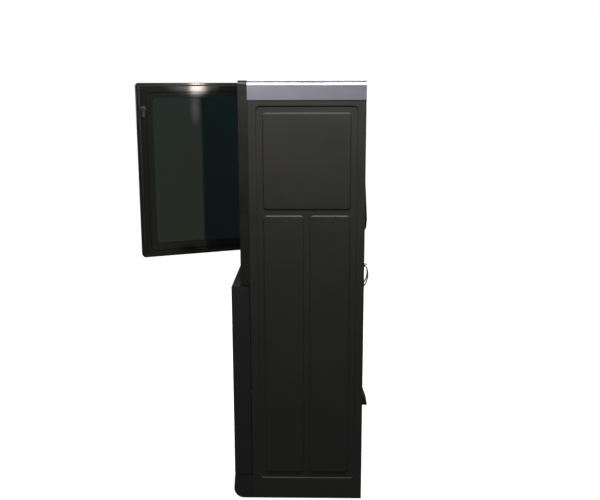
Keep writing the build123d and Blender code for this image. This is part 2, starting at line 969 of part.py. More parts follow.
def door_cutouts():
    """Openings in the front skin, a rim smaller than the plate that covers each."""
    spans = [control_span(), coin_span(), note_span(), card_span()]
    spans += [tray_span(ticket_tray), tray_span(coin_tray)]
    rim = plate_rim
    return [(x0 + rim, x1 - rim, z0 + rim, z1 - rim) for x0, x1, z0, z1 in spans]


def control_span():
    z = counter_height - control_drop
    return -control_half, control_half, z - control_height / 2, z + control_height / 2


def around(x, z, width, height):
    return x - width / 2, x + width / 2, z - height / 2, z + height / 2


def coin_span():
    return around(coin_place[0], counter_height - coin_place[1], 46.0, 120.0)


def note_span():
    return around(note_place[0], counter_height - note_place[1], 112.0, 96.0)


def card_span():
    return around(card_place[0], counter_height - card_place[1], 96.0, 96.0)


def tray_span(tray):
    x, drop, width, height = tray
    z = counter_height - drop
    return around(x, z, width + 2 * tray_border, height + 2 * tray_border)


def face_plate(span, corner=6.0):
    """Front plate of a fitting, with a soft front edge, lying on the door's face."""
    x0, x1, z0, z1 = span
    front = lower_door_front - bezel_plate
    shape = plate(x0, x1, z0, z1, front, lower_door_front, corner)
    return fillet(shape.edges().group_by(Axis.Y)[0], bezel_plate / 3)


def fitting_body(span, depth):
    """The part of a fitting that stands behind the skin."""
    x0, x1, z0, z1 = span
    rim = plate_rim + slide_play
    return plate(
        x0 + rim,
        x1 - rim,
        z0 + rim,
        z1 - rim,
        lower_door_front,
        lower_door_front + depth,
        cutout_corner,
    )


def button_places():
    z = counter_height - control_drop
    first = -button_pitch * (button_count - 1) / 2
    return [(first + n * button_pitch, z) for n in range(button_count)]


def control_panel():
    """Face plate with the selection buttons' holes and the switch carrier behind."""
    panel = face_plate(control_span())
    x0, x1, z0, z1 = control_span()
    rim = plate_rim + slide_play
    carrier = fitting_body(control_span(), carrier_depth)
    carrier -= block(
        x0 + rim + 3.0,
        x1 - rim - 3.0,
        lower_door_front,
        lower_door_front + carrier_depth - 3.0,
        z0 + rim + 3.0,
        z1 - rim - 3.0,
    )
    panel += carrier
    for x, z in button_places():
        panel -= rod(
            button_radius + slide_play,
            (x, lower_door_front - bezel_plate, z),
            (x, lower_door_front, z),
        )
    return panel


def selection_button(x, z):
    """Domed push button with a collar that keeps it behind the plate."""
    face = lower_door_front - bezel_plate - button_stand
    cap = rod(button_radius, (x, face, z), (x, lower_door_front + 4.0, z))
    cap = fillet(cap.edges().filter_by(GeomType.CIRCLE).group_by(Axis.Y)[0], 1.5)
    collar_front = lower_door_front + 0.4
    collar = rod(button_radius + 2.5, (x, collar_front, z), (x, collar_front + 2.0, z))
    stem_end = lower_door_front + carrier_depth - 3.5 - button_travel
    stem = rod(4.0, (x, lower_door_front, z), (x, stem_end, z))
    return cap + collar + stem


def coin_slot_bezel():
    """Cast plate with the coin slot and the hole for the coin return button."""
    x = coin_place[0]
    z = counter_height - coin_place[1]
    bezel = face_plate(coin_span(), 10.0)
    chute = fitting_body(coin_span(), 45.0)
    bezel += chute
    slot_z = z + coin_slot_rise
    front = lower_door_front
    surround = rod(17.0, (x, front - bezel_plate - 1.5, slot_z), (x, front, slot_z))
    bezel += fillet(surround.edges().filter_by(GeomType.CIRCLE).group_by(Axis.Y)[0], 1.0)
    bezel -= block(x - 2.0, x + 2.0, front - 6.0, front + 46.0, slot_z - 14.0, slot_z + 14.0)
    low = z - coin_return_drop
    bezel -= rod(
        return_radius + slide_play,
        (x, lower_door_front - 6.0, low),
        (x, lower_door_front + return_depth + return_travel + 1.0, low),
    )
    return bezel


def coin_return_button():
    x = coin_place[0]
    z = counter_height - coin_place[1] - coin_return_drop
    front = lower_door_front - bezel_plate - button_stand
    button = rod(return_radius, (x, front, z), (x, lower_door_front + return_depth, z))
    return fillet(button.edges().filter_by(GeomType.CIRCLE).group_by(Axis.Y)[0], 2.0)


def note_acceptor():
    """Banknote reader: a plate with a stepped mouth, and the reader's body behind."""
    x = note_place[0]
    z = counter_height - note_place[1]
    front = lower_door_front - bezel_plate
    unit = face_plate(note_span(), 8.0) + fitting_body(note_span(), 66.0)
    mouth = plate(x - 47.0, x + 47.0, z - 18.0, z + 12.0, front - 4.0, front, 6.0)
    unit += fillet(mouth.edges().group_by(Axis.Y)[0], 2.0)
    unit -= block(x - 41.0, x + 41.0, front - 5.0, lower_door_front + 50.0, z - 4.0, z + 2.0)
    return unit


def card_reader():
    """Card reader: a plate with a guide lip and a narrow slot."""
    x = card_place[0]
    z = counter_height - card_place[1]
    front = lower_door_front - bezel_plate
    unit = face_plate(card_span(), 8.0) + fitting_body(card_span(), 50.0)
    lip = plate(x - 36.0, x + 36.0, z - 12.0, z + 8.0, front - 4.0, front, 5.0)
    unit += fillet(lip.edges().group_by(Axis.Y)[0], 1.5)
    unit -= block(x - 28.0, x + 28.0, front - 5.0, lower_door_front + 40.0, z - 5.0, z + 1.0)
    return unit


def delivery_tray(tray):
    """Open-fronted pocket behind a swinging flap, with a floor that falls to the front."""
    x, drop, width, height = tray
    z = counter_height - drop
    half = width / 2
    low, high = z - height / 2, z + height / 2
    front = lower_door_front
    back = front + tray_depth
    unit = face_plate(tray_span(tray), 8.0) + fitting_body(tray_span(tray), tray_depth)
    pocket = [
        (front - bezel_plate - 1.0, low),
        (front, low),
        (back - 3.0, low + tray_floor_rise),
        (back - 3.0, high),
        (front - bezel_plate - 1.0, high),
    ]
    unit -= side_profile(pocket, x - half, x + half)
    y, pin_z = flap_pivot(tray)
    for side in (-1, 1):
        end = x + side * (half + 4.0)
        unit -= rod(flap_pin_radius + pin_play, (x, y, pin_z), (end, y, pin_z))
    return unit


def flap_pivot(tray):
    x, drop, width, height = tray
    return lower_door_front + 5.0, counter_height - drop + height / 2 - 6.0


def tray_flap(tray):
    """Clear flap with a rolled top edge and a pin at each end."""
    x, drop, width, height = tray
    z = counter_height - drop
    half = width / 2 - flap_side_gap
    y, pin_z = flap_pivot(tray)
    low = z - height / 2 + flap_side_gap
    leaf = block(x - half, x + half, y - 1.5, y + 1.5, low, pin_z)
    leaf = fillet(leaf.edges().filter_by(Axis.Y).group_by(Axis.Z)[0], 4.0)
    flap = leaf + rod(4.0, (x - half, y, pin_z), (x + half, y, pin_z))
    pin_half = width / 2 + 3.0
    return flap + rod(flap_pin_radius, (x - pin_half, y, pin_z), (x + pin_half, y, pin_z))


def handle_place():
    return half_width - handle_inset, counter_height - handle_drop


def lower_handle():
    """Flush swing handle in its dish: grip bar, shaft and latch cam."""
    x, z = handle_place()
    dish_back = lower_door_front + dish_depth
    reach = dish_radius - 5.0
    grip = plate(
        x - 9.0, x + 9.0, z - reach, z + reach, lower_door_front + 1.0, dish_back - 4.0, 8.5
    )
    grip = fillet(grip.edges().group_by(Axis.Y)[0], 3.0)
    hub = rod(10.0, (x, dish_back - 5.0, z), (x, dish_back - 0.5, z))
    return grip + hub + lock_cam(x, z, dish_back - 6.0, handle_cam_length, handle_radius, False)


# ---- Inside, above the middle shelf ----------------------------------------------------------
def display_monitor():
    """Upright display in a shallow metal case, open at the front for its screen."""
    x, low, high = monitor_half, monitor_bottom, monitor_top
    front = monitor_front
    back = front + monitor_depth
    case = plate(-x, x, low, high, front, back, 8.0)
    case -= plate(
        -x + monitor_rim,
        x - monitor_rim,
        low + monitor_rim,
        high - monitor_rim,
        front,
        front + screen_thickness,
        2.0,
    )
    for row in range(monitor_vents):
        z = high - 60.0 - row * 14.0
        case -= block(-80.0, 80.0, back - 6.0, back, z, z + 5.0)
    return case


def display_screen():
    gap = seat_play
    rim = monitor_rim + gap
    return plate(
        -monitor_half + rim,
        monitor_half - rim,
        monitor_bottom + rim,
        monitor_top - rim,
        monitor_front + 1.0,
        monitor_front + screen_thickness,
        2.0,
    )


def monitor_bracket():
    """Two uprights on a foot plate, with a cross plate behind the display."""
    back = monitor_front + monitor_depth
    floor = middle_shelf_height + sheet
    width = 40.0
    reach = 70.0
    bracket = block(-140.0, 140.0, back, back + reach, floor, floor + 3.0)
    for side in (-1, 1):
        x0, x1 = sorted((side * 90.0, side * (90.0 + width)))
        bracket += block(x0, x1, back, back + 3.0, floor, monitor_top - 160.0)
        mid = (x0 + x1) / 2
        web = [(back, floor), (back + reach, floor), (back, floor + 3 * reach)]
        bracket += side_profile(web, mid - 1.5, mid + 1.5)
    bracket += block(-90.0, 90.0, back, back + 3.0, monitor_bottom + 200.0, monitor_bottom + 300.0)
    return bracket


def control_computer():
    """Sealed controller with cooling fins on top and sockets on its face."""
    x0, x1 = -250.0, -20.0
    y0, y1 = -70.0, 110.0
    z0 = middle_shelf_height + sheet
    z1 = z0 + 70.0
    case = block(x0, x1, y0, y1, z0, z1)
    case = fillet(case.edges().filter_by(Axis.Z), 4.0)
    fin_gap = 8.0
    count = int((x1 - x0 - 20.0) / (2 * fin_gap))
    for n in range(count):
        x = x0 + 12.0 + 2 * n * fin_gap
        case -= block(x, x + fin_gap, y0, y1, z1 - 14.0, z1)
    for n in range(4):
        x = x0 + 30.0 + n * 46.0
        case -= block(x, x + 22.0, y0, y0 + 8.0, z0 + 14.0, z0 + 26.0)
    return case


def power_supply():
    """Enclosed switched supply with a terminal block."""
    x0, x1 = 40.0, 160.0
    y0, y1 = -60.0, 150.0
    z0 = middle_shelf_height + sheet
    z1 = z0 + 62.0
    case = block(x0, x1, y0 + 18.0, y1, z0, z1) + block(x0, x1, y0, y0 + 18.0, z0, z0 + 22.0)
    for n in range(7):
        x = x0 + 10.0 + n * 15.0
        case -= rod(3.0, (x, y0 + 9.0, z0 + 12.0), (x, y0 + 9.0, z0 + 22.0))
    for n in range(9):
        y = y0 + 40.0 + n * 14.0
        case -= block(x0 + 20.0, x1 - 20.0, y, y + 6.0, z1 - 4.0, z1)
    return case


def fan_frame():
    """Square axial fan housing with its motor spider, on the rear panel."""
    half = fan_size / 2
    back = rear_inner
    front = back - fan_depth
    frame = plate(-half, half, fan_height - half, fan_height + half, front, back, 6.0)
    frame -= rod(fan_bore, (0, front, fan_height), (0, back, fan_height))
    spoke = 3.0
    for angle in (45, 135):
        bar = block(-fan_bore - 1.0, fan_bore + 1.0, back - spoke, back, -spoke, spoke)
        frame += Pos(0, 0, fan_height) * bar.rotate(Axis.Y, angle)
    frame += rod(fan_hub, (0, back - spoke, fan_height), (0, back, fan_height))
    frame += rod(2.0, (0, front + 4.0, fan_height), (0, back, fan_height))
    for x in (-1, 1):
        for z in (-1, 1):
            hole = (x * (half - 8.0), z * (half - 8.0) + fan_height)
            frame -= rod(2.2, (hole[0], front, hole[1]), (hole[0], back, hole[1]))
    return frame


def fan_rotor():
    """Hub with seven pitched blades."""
    front = rear_inner - fan_depth + 2.0
    back = rear_inner - 4.0
    rotor = rod(fan_hub, (0, front, fan_height), (0, back, fan_height))
    reach = fan_bore - 2.0
    blades = 7
    for n in range(blades):
        blade = block(-9.0, 9.0, -1.0, 1.0, fan_hub - 2.0, reach)
        blade = blade.rotate(Axis.Z, 38)
        blade = Pos(0, (front + back) / 2, 0) * blade
        rotor += Pos(0, 0, fan_height) * blade.rotate(Axis.Y, n * 360 / blades)
    rotor &= rod(reach, (0, front, fan_height), (0, back, fan_height))
    return rotor - rod(2.0 + pin_play, (0, front + 1.0, fan_height), (0, back, fan_height))


# ---- Inside, below the middle shelf ----------------------------------------------------------
def ticket_printer():
    """Printer on its shelf, with two cheeks that carry the roll spindle."""
    x0, x1 = printer_span
    y0, y1 = printer_front, printer_front + printer_depth
    z0 = printer_shelf_height + sheet
    body = block(x0, x1, y0, y1, z0, z0 + printer_height)
    body = fillet(body.edges().filter_by(Axis.X).group_by(Axis.Z)[-1], 8.0)
    y, z = platen_place()
    half = platen_length / 2 + 1.0
    middle = (x0 + x1) / 2
    body -= rod(platen_radius + 1.5, (middle - half, y, z), (middle + half, y, z))
    body -= block(middle - half, middle + half, y - 4.0, y + 4.0, z, z0 + printer_height)
    body -= rod(3.0 + pin_play, (middle - half - 8.0, y, z), (middle + half + 8.0, y, z))
    spindle_y, spindle_z = roll_place()
    for side in (-1, 1):
        inner = middle + side * (roll_width / 2 + 4.0)
        a, b = sorted((inner, inner + side * 4.0))
        cheek = [
            (y1, z0),
            (spindle_y + 30.0, z0),
            (spindle_y + 14.0, spindle_z + 14.0),
            (spindle_y - 14.0, spindle_z + 14.0),
            (y1, z0 + 60.0),
        ]
        body += side_profile(cheek, a, b)
        body -= rod(spindle_radius + seat_play, (a, spindle_y, spindle_z), (b, spindle_y, spindle_z))
    return body


def platen_place():
    return printer_front + 22.0, printer_shelf_height + sheet + printer_height - 12.0


def roll_place():
    y = printer_front + printer_depth + roll_radius + 6.0
    return y, printer_shelf_height + sheet + roll_radius + 8.0


def platen_roller():
    y, z = platen_place()
    middle = sum(printer_span) / 2
    half = platen_length / 2
    roller = rod(platen_radius, (middle - half, y, z), (middle + half, y, z))
    return roller + rod(3.0, (middle - half - 7.0, y, z), (middle + half + 7.0, y, z))


def roll_spindle():
    y, z = roll_place()
    middle = sum(printer_span) / 2
    half = roll_width / 2 + 12.0
    return rod(spindle_radius, (middle - half, y, z), (middle + half, y, z))


def ticket_roll():
    """Fan of ticket stock wound on a core."""
    y, z = roll_place()
    middle = sum(printer_span) / 2
    half = roll_width / 2
    roll = rod(roll_radius, (middle - half, y, z), (middle + half, y, z))
    return roll - rod(spindle_radius + pin_play, (middle - half, y, z), (middle + half, y, z))


def coin_hopper():
    """Coin hopper: a box with a round bowl, over its motor base."""
    x, y = hopper_place
    half = hopper_size / 2
    z0 = printer_shelf_height + sheet
    z1 = z0 + hopper_height
    body = block(x - half, x + half, y - half, y + half, z0, z1)
    body = fillet(body.edges().filter_by(Axis.Z), 8.0)
    floor = z0 + hopper_base
    body -= rod(bowl_radius, (x, y, floor), (x, y, z1))
    body += rod(5.0, (x, y, floor), (x, y, floor + 9.0))
    return body


def hopper_disc():
    """Turning disc with round coin pockets, on the hopper's stub shaft."""
    x, y = hopper_place
    floor = printer_shelf_height + sheet + hopper_base + 1.0
    disc = rod(bowl_radius - 1.5, (x, y, floor), (x, y, floor + 5.0))
    disc += rod(16.0, (x, y, floor + 5.0), (x, y, floor + 12.0))
    pockets = 5
    for n in range(pockets):
        angle = radians(360 / pockets * n)
        px = x + 36.0 * cos(angle)
        py = y + 36.0 * sin(angle)
        disc -= rod(14.0, (px, py, floor - 1.0), (px, py, floor + 6.0))
    return disc - rod(5.0 + pin_play, (x, y, floor - 1.0), (x, y, floor + 9.0))


def cash_box():
    """Steel cash box with a lapped lid, a coin mouth and two handle eyes."""
    x0, x1 = cash_span
    y0, y1 = cash_front, cash_front + cash_depth
    z0 = 3.0
    z1 = z0 + cash_height
    box = block(x0, x1, y0, y1, z0, z1)
    box = fillet(box.edges().filter_by(Axis.Z), 5.0)
    lid = block(x0 - 2.0, x1 + 2.0, y0 - 2.0, y1 + 2.0, z1 - 22.0, z1)
    box += fillet(lid.edges().filter_by(Axis.Z), 6.0)
    box -= block(x0 + 25.0, x1 - 25.0, y1 - 45.0, y1 - 25.0, z1 - 60.0, z1)
    middle = (x0 + x1) / 2
    y = (y0 + y1) / 2
    for side in (-1, 1):
        x = middle + side * (bail_half + 8.0)
        eye = block(x - 4.0, x + 4.0, y - 8.0, y + 8.0, z1, z1 + 16.0)
        box += fillet(eye.edges().filter_by(Axis.X).group_by(Axis.Z)[-1], 7.0)
    z = z1 + 8.0
    return box - rod(
        bail_bar + pin_play, (middle - bail_half - 13.0, y, z), (middle + bail_half + 13.0, y, z)
    )


def cash_box_handle():
    """Bail handle that lies flat on the lid."""
    middle = sum(cash_span) / 2
    y = cash_front + cash_depth / 2
    z = 3.0 + cash_height + 8.0
    ends = [(middle - bail_half, y - bail_reach, z), (middle + bail_half, y - bail_reach, z)]
    bail = rod(bail_bar + 1.5, *ends)
    for side, end in zip((-1, 1), ends):
        corner = middle + side * bail_half
        bail += rod(bail_bar, (corner, y, z), end)
        bail += rod(bail_bar, (corner, y, z), (corner + side * 12.0, y, z))
        bail += Pos(*end) * Sphere(bail_bar + 1.5)
        bail += Pos(corner, y, z) * Sphere(bail_bar)
    return bail


# ---- Build ---------------------------------------------------------------------------------
both_sides("side_panel", side_panel())
both_sides("top_band", top_band())
post = front_post()
both_sides("front_post", post)
save("roof_panel", roof_panel())
save("mid_rail", mid_rail())
save("base_pan", base_pan())
save("kick_plinth", kick_plinth())
save("middle_shelf", shelf(middle_shelf_height, flange_back))
save("printer_shelf", shelf(printer_shelf_height, printer_shelf_front))

save("rear_panel", rear_panel())
save("rear_panel_screws", rear_panel_screws())
save("vent_hood", vent_hood())
save("cable_hood", cable_hood())
save("power_inlet", power_inlet())
save("rear_hatch", rear_hatch())
save("hatch_hinge_pins", hatch_hinge_pins())
save("hatch_boss", hatch_boss())
save("hatch_pull", hatch_pull())

save("upper_hinge_pins", upper_hinge_pins())
save("upper_door_frame", opened(upper_door_frame()))
save("glazing_seal", opened(glazing_seal()))
save("door_glass", opened(door_glass()))
save("door_inner_bezel", opened(door_inner_bezel()))
save("door_gasket", opened(door_gasket()))
save("upper_lock_body", opened(upper_lock_body()))
save(
    "upper_lock_cam",
    opened(lock_cam(*lock_place(), post_front - 1.0, 38.0, lock_plug_radius, True)),
)

save("lower_hinge_pins", lower_hinge_pins())
save("lower_door_shell", lower_door_shell())
save("control_panel", control_panel())
for number, place in enumerate(button_places(), 1):
    save(f"selection_button_{number}", selection_button(*place))
save("coin_slot_bezel", coin_slot_bezel())
save("coin_return_button", coin_return_button())
save("note_acceptor", note_acceptor())
save("card_reader", card_reader())
save("ticket_chute", delivery_tray(ticket_tray))
save("ticket_flap", tray_flap(ticket_tray))
save("coin_cup", delivery_tray(coin_tray))
save("coin_flap", tray_flap(coin_tray))
save("lower_handle", lower_handle())

save("display_monitor", display_monitor())
save("display_screen", display_screen())
save("monitor_bracket", monitor_bracket())
save("control_computer", control_computer())
save("power_supply", power_supply())
save("fan_frame", fan_frame())
save("fan_rotor", fan_rotor())

save("ticket_printer", ticket_printer())
save("platen_roller", platen_roller())
save("roll_spindle", roll_spindle())
save("ticket_roll", ticket_roll())
save("coin_hopper", coin_hopper())
save("hopper_disc", hopper_disc())
save("cash_box", cash_box())
save("cash_box_handle", cash_box_handle())
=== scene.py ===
# %% [markdown]
# # A ticket vending machine with its glass door open
#
# The machine stands on a pale floor with its side to us. Two large pressed steel sides carry it,
# a bright metal strip runs along the top, and the glass door in front of the display stands open.
# The measured model of the machine is already made, and this lesson dresses it: every part keeps
# its place, the parts with hard edges get softer ones, and every surface gets a finish that starts
# from what the real one is. Lengths are in metres. Sizes of small things are written in
# millimetres and multiplied by MM.

# %% The measured model
import json
from math import ceil, cos, hypot, pi, radians, sin, sqrt, tan

import bmesh
import bpy
from mathutils import Matrix, Vector


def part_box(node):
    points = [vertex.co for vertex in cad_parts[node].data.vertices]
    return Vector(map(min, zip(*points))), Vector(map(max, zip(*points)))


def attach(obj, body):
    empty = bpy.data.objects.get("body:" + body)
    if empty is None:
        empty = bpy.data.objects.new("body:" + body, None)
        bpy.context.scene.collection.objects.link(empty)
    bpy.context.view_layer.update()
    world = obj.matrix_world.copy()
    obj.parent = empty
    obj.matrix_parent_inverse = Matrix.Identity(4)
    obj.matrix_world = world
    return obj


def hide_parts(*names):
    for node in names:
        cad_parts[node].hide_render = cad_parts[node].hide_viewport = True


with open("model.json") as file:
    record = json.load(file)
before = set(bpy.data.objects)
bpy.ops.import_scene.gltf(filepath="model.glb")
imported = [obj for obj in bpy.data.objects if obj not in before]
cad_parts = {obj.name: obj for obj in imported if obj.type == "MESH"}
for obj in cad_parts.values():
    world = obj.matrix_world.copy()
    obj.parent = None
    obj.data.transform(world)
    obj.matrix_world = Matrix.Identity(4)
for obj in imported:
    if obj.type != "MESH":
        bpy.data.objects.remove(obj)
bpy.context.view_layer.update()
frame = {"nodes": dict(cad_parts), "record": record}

MM = 0.001
nodes = frame["nodes"]
record = frame["record"]
scene = bpy.context.scene
body_of = {node: body for body, names in record["behaviour"]["bodies"].items() for node in names}
slot_of = {part["node"]: part["material_slot"] for part in record["subparts"]}

# %% [markdown]
# ## Where we stand
#
# A camera can be aimed by hand or given a place and three turns. We give the numbers, because the
# view is fixed: the lens stands level with the top of the machine, about three and a quarter
# metres from its side, looks down by nearly twelve degrees and sees it almost square on.

# %% Camera
eye = bpy.data.cameras.new("side_view")
eye.sensor_width = 36.0
eye.lens = 47.77
camera = bpy.data.objects.new("side_view", eye)
scene.collection.objects.link(camera)
heading = Matrix.Rotation(radians(91.137), 4, "Z")
dip = Matrix.Rotation(radians(78.298), 4, "X")
roll = Matrix.Rotation(radians(-0.127), 4, "Z")
camera.matrix_world = Matrix.Translation((3.5649, 0.0363, 1.8127)) @ heading @ dip @ roll
scene.camera = camera
scene.view_settings.view_transform = "Standard"
print("camera stands", round(camera.location.length, 3), "m from the origin")

# %% [markdown]
# ## Building finishes from nodes
#
# Every finish below is a Principled shader with a few texture nodes in front of it. Blender can be
# driven with many helpers, but two are enough here. `linear` turns a colour from a paint chart
# into the light values that a renderer adds up. `add` puts one node in a material, sets its
# options and either links or sets each of its inputs. Patterns are measured on the object itself,
# so `per_mm` turns a real size into a texture's scale.

# %% Helpers for finishes
def linear(chart):
    """The linear colour, with alpha, of an sRGB hex value."""
    levels = [int(chart[place:place + 2], 16) / 255 for place in (1, 3, 5)]
    return (*[v / 12.92 if v <= 0.04045 else ((v + 0.055) / 1.055) ** 2.4 for v in levels], 1.0)


def add(tree, kind, inputs=None, **settings):
    """One node, with its settings, and its inputs set or linked."""
    node = tree.nodes.new(kind)
    for name, value in settings.items():
        setattr(node, name, value)
    for name, value in (inputs or {}).items():
        if isinstance(value, bpy.types.NodeSocket):
            tree.links.new(value, node.inputs[name])
        else:
            node.inputs[name].default_value = value
    return node


def per_mm(size):
    """A texture scale whose pattern repeats about every `size` millimetres."""
    return 1000.0 / size


def start_finish(name, **settings):
    """A new material, its tree, its shader and the place on the object that patterns follow."""
    finish = bpy.data.materials.new(name)
    finish.use_nodes = True
    tree = finish.node_tree
    shader = tree.nodes["Principled BSDF"]
    for socket, value in settings.items():
        shader.inputs[socket.replace("_", " ")].default_value = value
    place = add(tree, "ShaderNodeTexCoord").outputs["Object"]
    return finish, tree, shader, place


def cloud(tree, place, size, detail=2.0, stretch=(1.0, 1.0, 1.0)):
    """Noise with patches of about `size` millimetres, drawn out along an axis if asked."""
    along = add(tree, "ShaderNodeMapping", {"Vector": place, "Scale": stretch})
    noise = add(
        tree,
        "ShaderNodeTexNoise",
        {"Vector": along.outputs["Vector"], "Scale": per_mm(size), "Detail": detail},
    )
    return noise.outputs["Fac"]


def between(tree, amount, low, high):
    """A value that goes from `low` to `high` as a pattern goes over its middle range."""
    spread = add(
        tree,
        "ShaderNodeMapRange",
        {"Value": amount, "From Min": 0.3, "From Max": 0.7, "To Min": low, "To Max": high},
    )
    return spread.outputs["Result"]


def two_tone(tree, amount, first, second):
    """A colour that goes from one chart value to another with a pattern."""
    ramp = add(tree, "ShaderNodeValToRGB", {"Fac": amount})
    ramp.color_ramp.elements[0].position = 0.3
    ramp.color_ramp.elements[1].position = 0.7
    ramp.color_ramp.elements[0].color = linear(first)
    ramp.color_ramp.elements[1].color = linear(second)
    return ramp.outputs["Color"]


def relief_of(tree, shader, height, depth_mm, strength=1.0):
    """Bumps the shader's surface by a height pattern of that depth."""
    bump = add(
        tree,
        "ShaderNodeBump",
        {"Height": height, "Distance": depth_mm * MM, "Strength": strength},
    )
    tree.links.new(bump.outputs["Normal"], shader.inputs["Normal"])


finishes = {}
print("helpers ready; a 2 mm grain has texture scale", per_mm(2))

# %% [markdown]
# ## Powder coat on steel
#
# The big sides, the plinth and the doors are steel sheet with a baked polyester powder coat. The
# powder melts into a skin with shallow cells a few millimetres across, which painters call orange
# peel, and the skin is satin, not glossy. It could be a flat dark colour, but then the light would
# slide over it as over glass. Three things give it life: the cells as bump, slow patches in
# colour, and patches in roughness where hands and cloths have been. The real cells are about 2 mm,
# too small to show from here, so they are drawn at 6 or 7 mm.

# %% Powder coats
def powder_coat(slot, name, first, second, satin, peel_mm=7.0, peel_depth=0.05, shine=0.5):
    finish, tree, shader, place = start_finish(name, Specular_IOR_Level=shine, IOR=1.5)
    patches = cloud(tree, place, 260, 4.0)
    wear = cloud(tree, place, 90, 5.0)
    speck = cloud(tree, place, 9, 3.0)
    tone = two_tone(tree, patches, first, second)
    grain = add(
        tree,
        "ShaderNodeMix",
        {"Factor": 0.12, "A": tone, "B": two_tone(tree, speck, first, second)},
        data_type="RGBA",
    )
    tree.links.new(grain.outputs["Result"], shader.inputs["Base Color"])
    tree.links.new(between(tree, wear, satin - 0.05, satin + 0.05), shader.inputs["Roughness"])
    relief_of(tree, shader, cloud(tree, place, peel_mm, 1.0), peel_depth, 0.35)
    finishes[slot] = finish


powder_coat("charcoal_coat", "charcoal polyester powder coat", "#30302f", "#363533", 0.46)
powder_coat("black_coat", "satin black powder coat", "#282928", "#2e2e2d", 0.42)
powder_coat("door_coat", "satin door frame coat", "#201e1d", "#262322", 0.1, 6.0, 0.002, 0.25)
print("powder coats", sorted(finishes))

# %% [markdown]
# ## Black lacquer
#
# The posts beside the glass door are sprayed with a gloss lacquer. A gloss black has almost no
# colour of its own: the eye reads it by the clear reflection on top. The lacquer is a coat layer
# over a black base, with a slow waviness from spraying and a few dull patches.

# %% Gloss lacquer
finish, tree, shader, place = start_finish(
    "gloss black lacquer", Specular_IOR_Level=0.35, Coat_Weight=0.1, Coat_Roughness=0.08, IOR=1.5
)
tree.links.new(
    two_tone(tree, cloud(tree, place, 120, 3.0), "#232421", "#2a2a27"), shader.inputs["Base Color"]
)
tree.links.new(between(tree, cloud(tree, place, 60, 4.0), 0.24, 0.36), shader.inputs["Roughness"])
relief_of(tree, shader, cloud(tree, place, 90, 1.0), 0.01, 0.3)
finishes["gloss_black"] = finish
print("gloss lacquer over", len(tree.nodes), "nodes")

# %% [markdown]
# ## Bright metals
#
# A bare metal has no colour under its shine: metallic is 1, or 0.9 on dulled zinc, the index of
# refraction stays at its default and roughness does the rest. What tells one from another is how
# it was worked. The strip on top is aluminium, brushed along its length and anodised, so its
# light spreads across the lines. The brushed stainless pieces have shorter lines, which run
# across the machine. Zinc coated sheet freezes into flat crystals, the spangle, each with its own
# shine. Nickel plate is nearly a mirror with hair scratches. Real brush lines are about 0.1 mm
# apart and are drawn at 1.5 mm, so that they show.

# %% Brushed metals
def brushed_metal(slot, name, first, second, shine, line_mm, run, bend):
    finish, tree, shader, place = start_finish(name, Metallic=1.0, Anisotropic=bend)
    lines = cloud(tree, place, line_mm, 3.0, run)
    patches = cloud(tree, place, 110, 3.0)
    blend = add(tree, "ShaderNodeMath", {0: lines, 1: patches}, operation="ADD")
    half = add(tree, "ShaderNodeMath", {0: blend.outputs["Value"], 1: 0.5}, operation="MULTIPLY")
    tree.links.new(
        two_tone(tree, half.outputs["Value"], first, second), shader.inputs["Base Color"]
    )
    tree.links.new(between(tree, lines, shine - 0.06, shine + 0.08), shader.inputs["Roughness"])
    relief_of(tree, shader, lines, 0.01, 0.4)
    finishes[slot] = finish


brushed_metal(
    "band_aluminium", "brushed anodised aluminium", "#c9c8d2", "#dddbe4", 0.34, 1.5,
    (1.0, 0.012, 1.0), 0.4,
)
brushed_metal(
    "brushed_steel", "brushed stainless steel", "#a8a9aa", "#c0c0be", 0.3, 1.5, (0.05, 1.0, 1.0), 0.3
)
print("brushed metals", finishes["band_aluminium"].name, finishes["brushed_steel"].name)

# %% Zinc spangle and nickel
finish, tree, shader, place = start_finish("hot dip galvanised sheet", Metallic=0.9)
crystals = add(tree, "ShaderNodeTexVoronoi", {"Vector": place, "Scale": per_mm(16)})
flake = add(tree, "ShaderNodeRGBToBW", {"Color": crystals.outputs["Color"]}).outputs["Val"]
tree.links.new(two_tone(tree, flake, "#8d9295", "#a9adae"), shader.inputs["Base Color"])
tree.links.new(between(tree, flake, 0.36, 0.52), shader.inputs["Roughness"])
relief_of(tree, shader, cloud(tree, place, 12, 2.0), 0.05, 0.3)
finishes["galvanised"] = finish

finish, tree, shader, place = start_finish("polished nickel plate", Metallic=1.0)
scratches = cloud(tree, place, 2.0, 4.0, (1.0, 0.08, 0.5))
tree.links.new(two_tone(tree, scratches, "#c3c2bd", "#d6d4ce"), shader.inputs["Base Color"])
tree.links.new(between(tree, scratches, 0.12, 0.24), shader.inputs["Roughness"])
relief_of(tree, shader, scratches, 0.01, 0.3)
finishes["bright_steel"] = finish
print("sheet and plate", finishes["galvanised"].name, finishes["bright_steel"].name)

# %% [markdown]
# ## Glass and the display
#
# The door is glazed with a body-tinted toughened pane. It lets only a little light through and
# reflects about a twentieth of what faces it, so it looks nearly black with soft reflections.
# Toughening leaves a very slow waviness. The display behind it has a glossy dark face with an
# idle picture: plain blocks of dim colour, laid out like a menu and with no words, made by a
# brick pattern that glows.

# %% Tinted pane
finish, tree, shader, place = start_finish(
    "body tinted toughened glass", Roughness=0.03, Transmission_Weight=1.0, IOR=1.5
)
tree.links.new(
    two_tone(tree, cloud(tree, place, 200, 2.0), "#444b49", "#4a514f"), shader.inputs["Base Color"]
)
tree.links.new(between(tree, cloud(tree, place, 40, 5.0), 0.02, 0.07), shader.inputs["Roughness"])
relief_of(tree, shader, cloud(tree, place, 160, 0.0), 0.3, 0.12)
finishes["dark_glass"] = finish
print("pane of", len(tree.nodes), "nodes")

